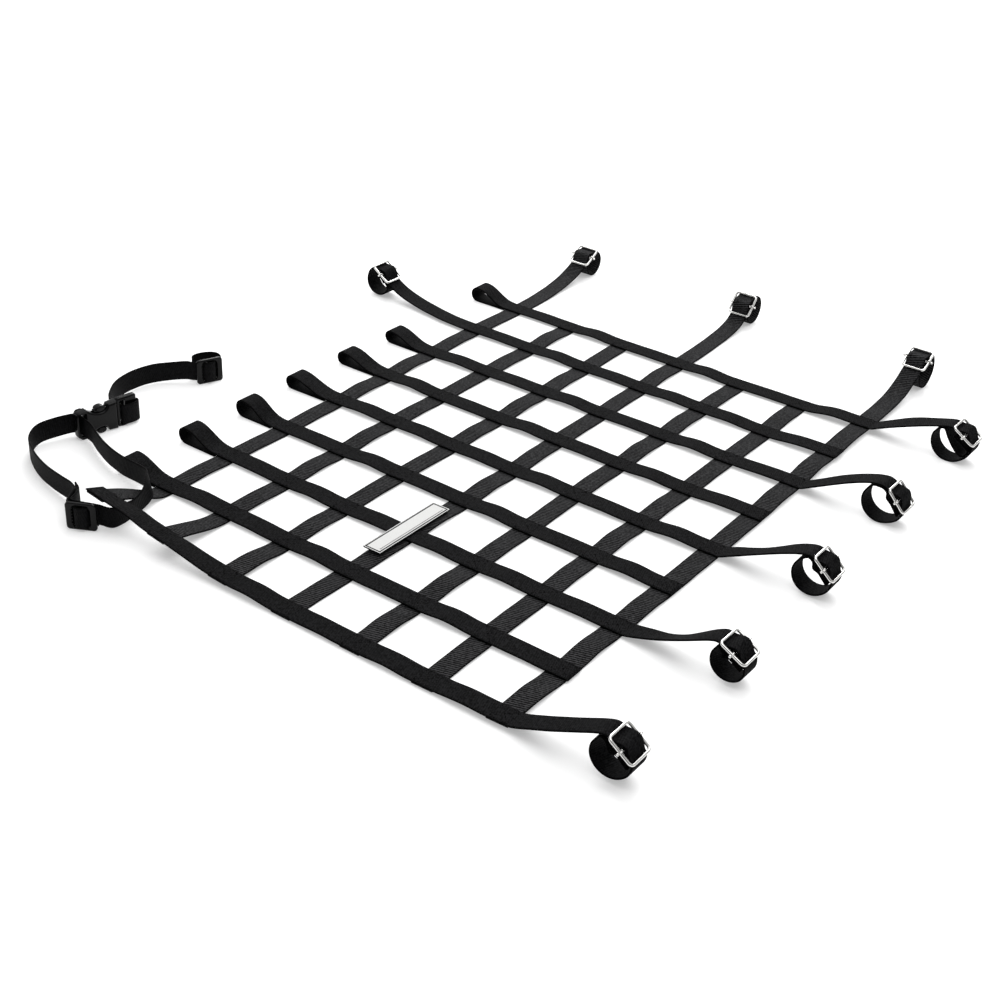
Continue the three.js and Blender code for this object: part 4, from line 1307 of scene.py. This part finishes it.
def release_plug():
    half = BUCKLE_HEIGHT / 2
    start, stop, thick = PLUG
    plug_mid, plug_half = span(start, stop)
    outline = rounded_rectangle(plug_half, half, 2.4, 6, plug_mid)
    slot_mid, slot_half = span(*PLUG_SLOT[:2])
    slot_height, slot_half_height = span(*PLUG_SLOT[2:])
    slot_y = slot_height - half
    slot = rounded_rectangle(slot_half, slot_half_height, 1.2, 4, slot_mid, slot_y)
    slot = densify(slot, PLUG_SPACING)[::-1]
    parts = [moulded(densify(outline, PLUG_SPACING), [slot], thick, PLUG_EDGE, 5)]
    cuts = []
    relief = (thick - PLUG_BAR_THICK) / 2
    length = stop - PLUG_SLOT[1] + 2
    for side in (-1, 1):
        z = side * (PLUG_BAR_THICK / 2 + relief / 2 + 0.5)
        at = (PLUG_SLOT[1] + length / 2 - 0.5, slot_y, z)
        cuts.append(rounded_box((length, 2 * slot_half_height, relief + 1), 0.3, at, 2))
        arm = side * (SOCKET_HEIGHT / 2 - ARM_INSET - ARM_HEIGHT / 2) - (half - SOCKET_HEIGHT / 2)
        reach = start - ARM_FROM + 1
        at = (ARM_FROM + reach / 2, arm, 0)
        parts.append(rounded_box((reach, ARM_HEIGHT, ARM_THICK), 0.5, at, 2))
        pad = [
            (BUTTON_AT + BUTTON_HALF * c, arm + side * BUTTON_OUT + BUTTON_RISE * s)
            for c, s in circle(BUTTON_SIDES)
        ]
        parts.append(moulded(pad, [], BUTTON_THICK, BUTTON_EDGE))
    obj = fuse("buckle_plug", parts, cuts)
    plastic(obj, BUCKLE_CREASE, BUCKLE, half, "release_plug")


release_socket()
release_plug()


# Label patch


def label_patch():
    width, length, thick = LABEL_SIZE
    outer = densify(rounded_rectangle(width / 2, length / 2, LABEL_CORNER, 5), LABEL_SPACING)
    obj = new_object("sewn_label", *moulded(outer, [], thick, LABEL_EDGE, 3))
    layer = obj.data.uv_layers.new(name="weave")
    for loop in obj.data.loops:
        corner = obj.data.vertices[loop.vertex_index].co / MM * UV_PER_MM
        layer.data[loop.index].uv = (corner.y, corner.x)
    bottom = lift(3, MID_CROSS) + LAYER + THICK + 1.5 * GAP
    at = Vector((*LABEL_AT, bottom + thick / 2)) * MM
    placed(smooth_by_angle(obj, LABEL_CREASE), Matrix.Translation(at))
    return dress(obj, LABEL_TAPE, "label_cloth", "label_patch")


label = label_patch()


# Floor, light and camera

FLOOR_HALF = 30000.0
FLOOR_DROP = 0.15
floor_corners = [(x * FLOOR_HALF, y * FLOOR_HALF, -FLOOR_DROP) for x, y in CORNERS]
floor = new_object("floor", floor_corners, [(0, 1, 2, 3)])
paper, paper_tree, paper_shader = new_material("floor_paper")
feed(
    paper_tree, paper_shader,
    Base_Color=(0.68, 0.68, 0.68, 1),
    Emission_Color=(1, 1, 1, 1),
    Emission_Strength=0.34,
    Roughness=0.9,
    Specular_IOR_Level=0.1,
)
floor.data.materials.append(paper)

scene = bpy.context.scene


def studio():
    """Light from behind and above the net, and a pale backdrop all round."""
    world = bpy.data.worlds.new("studio")
    world.use_nodes = True
    tree = world.node_tree
    place = node(tree, "ShaderNodeTexCoord").outputs["Generated"]
    facing = node(
        tree, "ShaderNodeVectorMath", operation="DOT_PRODUCT", i0=place, i1=(-0.42, 0.6, 0.68),
    )
    height = node(tree, "ShaderNodeSeparateXYZ", i0=place).outputs[2]
    glow = scaled(tree, facing.outputs["Value"], 0.75, 0.45)
    share = maths(tree, "MINIMUM", glow, scaled(tree, height, 3.6, -0.2))
    light = tree.nodes["Background"]
    sky = colour_mix(tree, share, (0.12, 0.12, 0.12), (1, 1, 1))
    feed(tree, light, Color=sky, Strength=0.9)
    backdrop = node(tree, "ShaderNodeBackground", Color=(1, 1, 1, 1), Strength=0.9)
    seen = node(tree, "ShaderNodeLightPath").outputs["Is Camera Ray"]
    both = node(
        tree, "ShaderNodeMixShader", i0=seen, i1=light.outputs[0], i2=backdrop.outputs[0],
    )
    feed(tree, tree.nodes["World Output"], Surface=both.outputs[0])
    return world


scene.world = studio()


def softbox(name, at, size, power):
    light = bpy.data.lights.new(name, "AREA")
    light.shape = "RECTANGLE"
    light.size, light.size_y = size
    light.energy = power
    obj = bpy.data.objects.new(name, light)
    obj.location = at
    obj.rotation_euler = (-Vector(at)).to_track_quat("-Z", "Y").to_euler()
    scene.collection.objects.link(obj)


softbox("back_softbox", (-0.9, 1.5, 1.15), (1.6, 1.0), 40)
softbox("top_softbox", (0.3, 0.2, 2.2), (2.2, 2.2), 34)

camera_data = bpy.data.cameras.new("photo_camera")
camera_data.lens = LENS
camera_data.sensor_width = 36
camera_data.clip_end = 100
camera = bpy.data.objects.new("photo_camera", camera_data)
camera.matrix_world = matrix_of(
    (CAMERA_RIGHT, -Vector(CAMERA_DOWN), -Vector(CAMERA_FORWARD)), CAMERA_AT,
)
scene.collection.objects.link(camera)
scene.camera = camera
scene.view_settings.view_transform = "Standard"
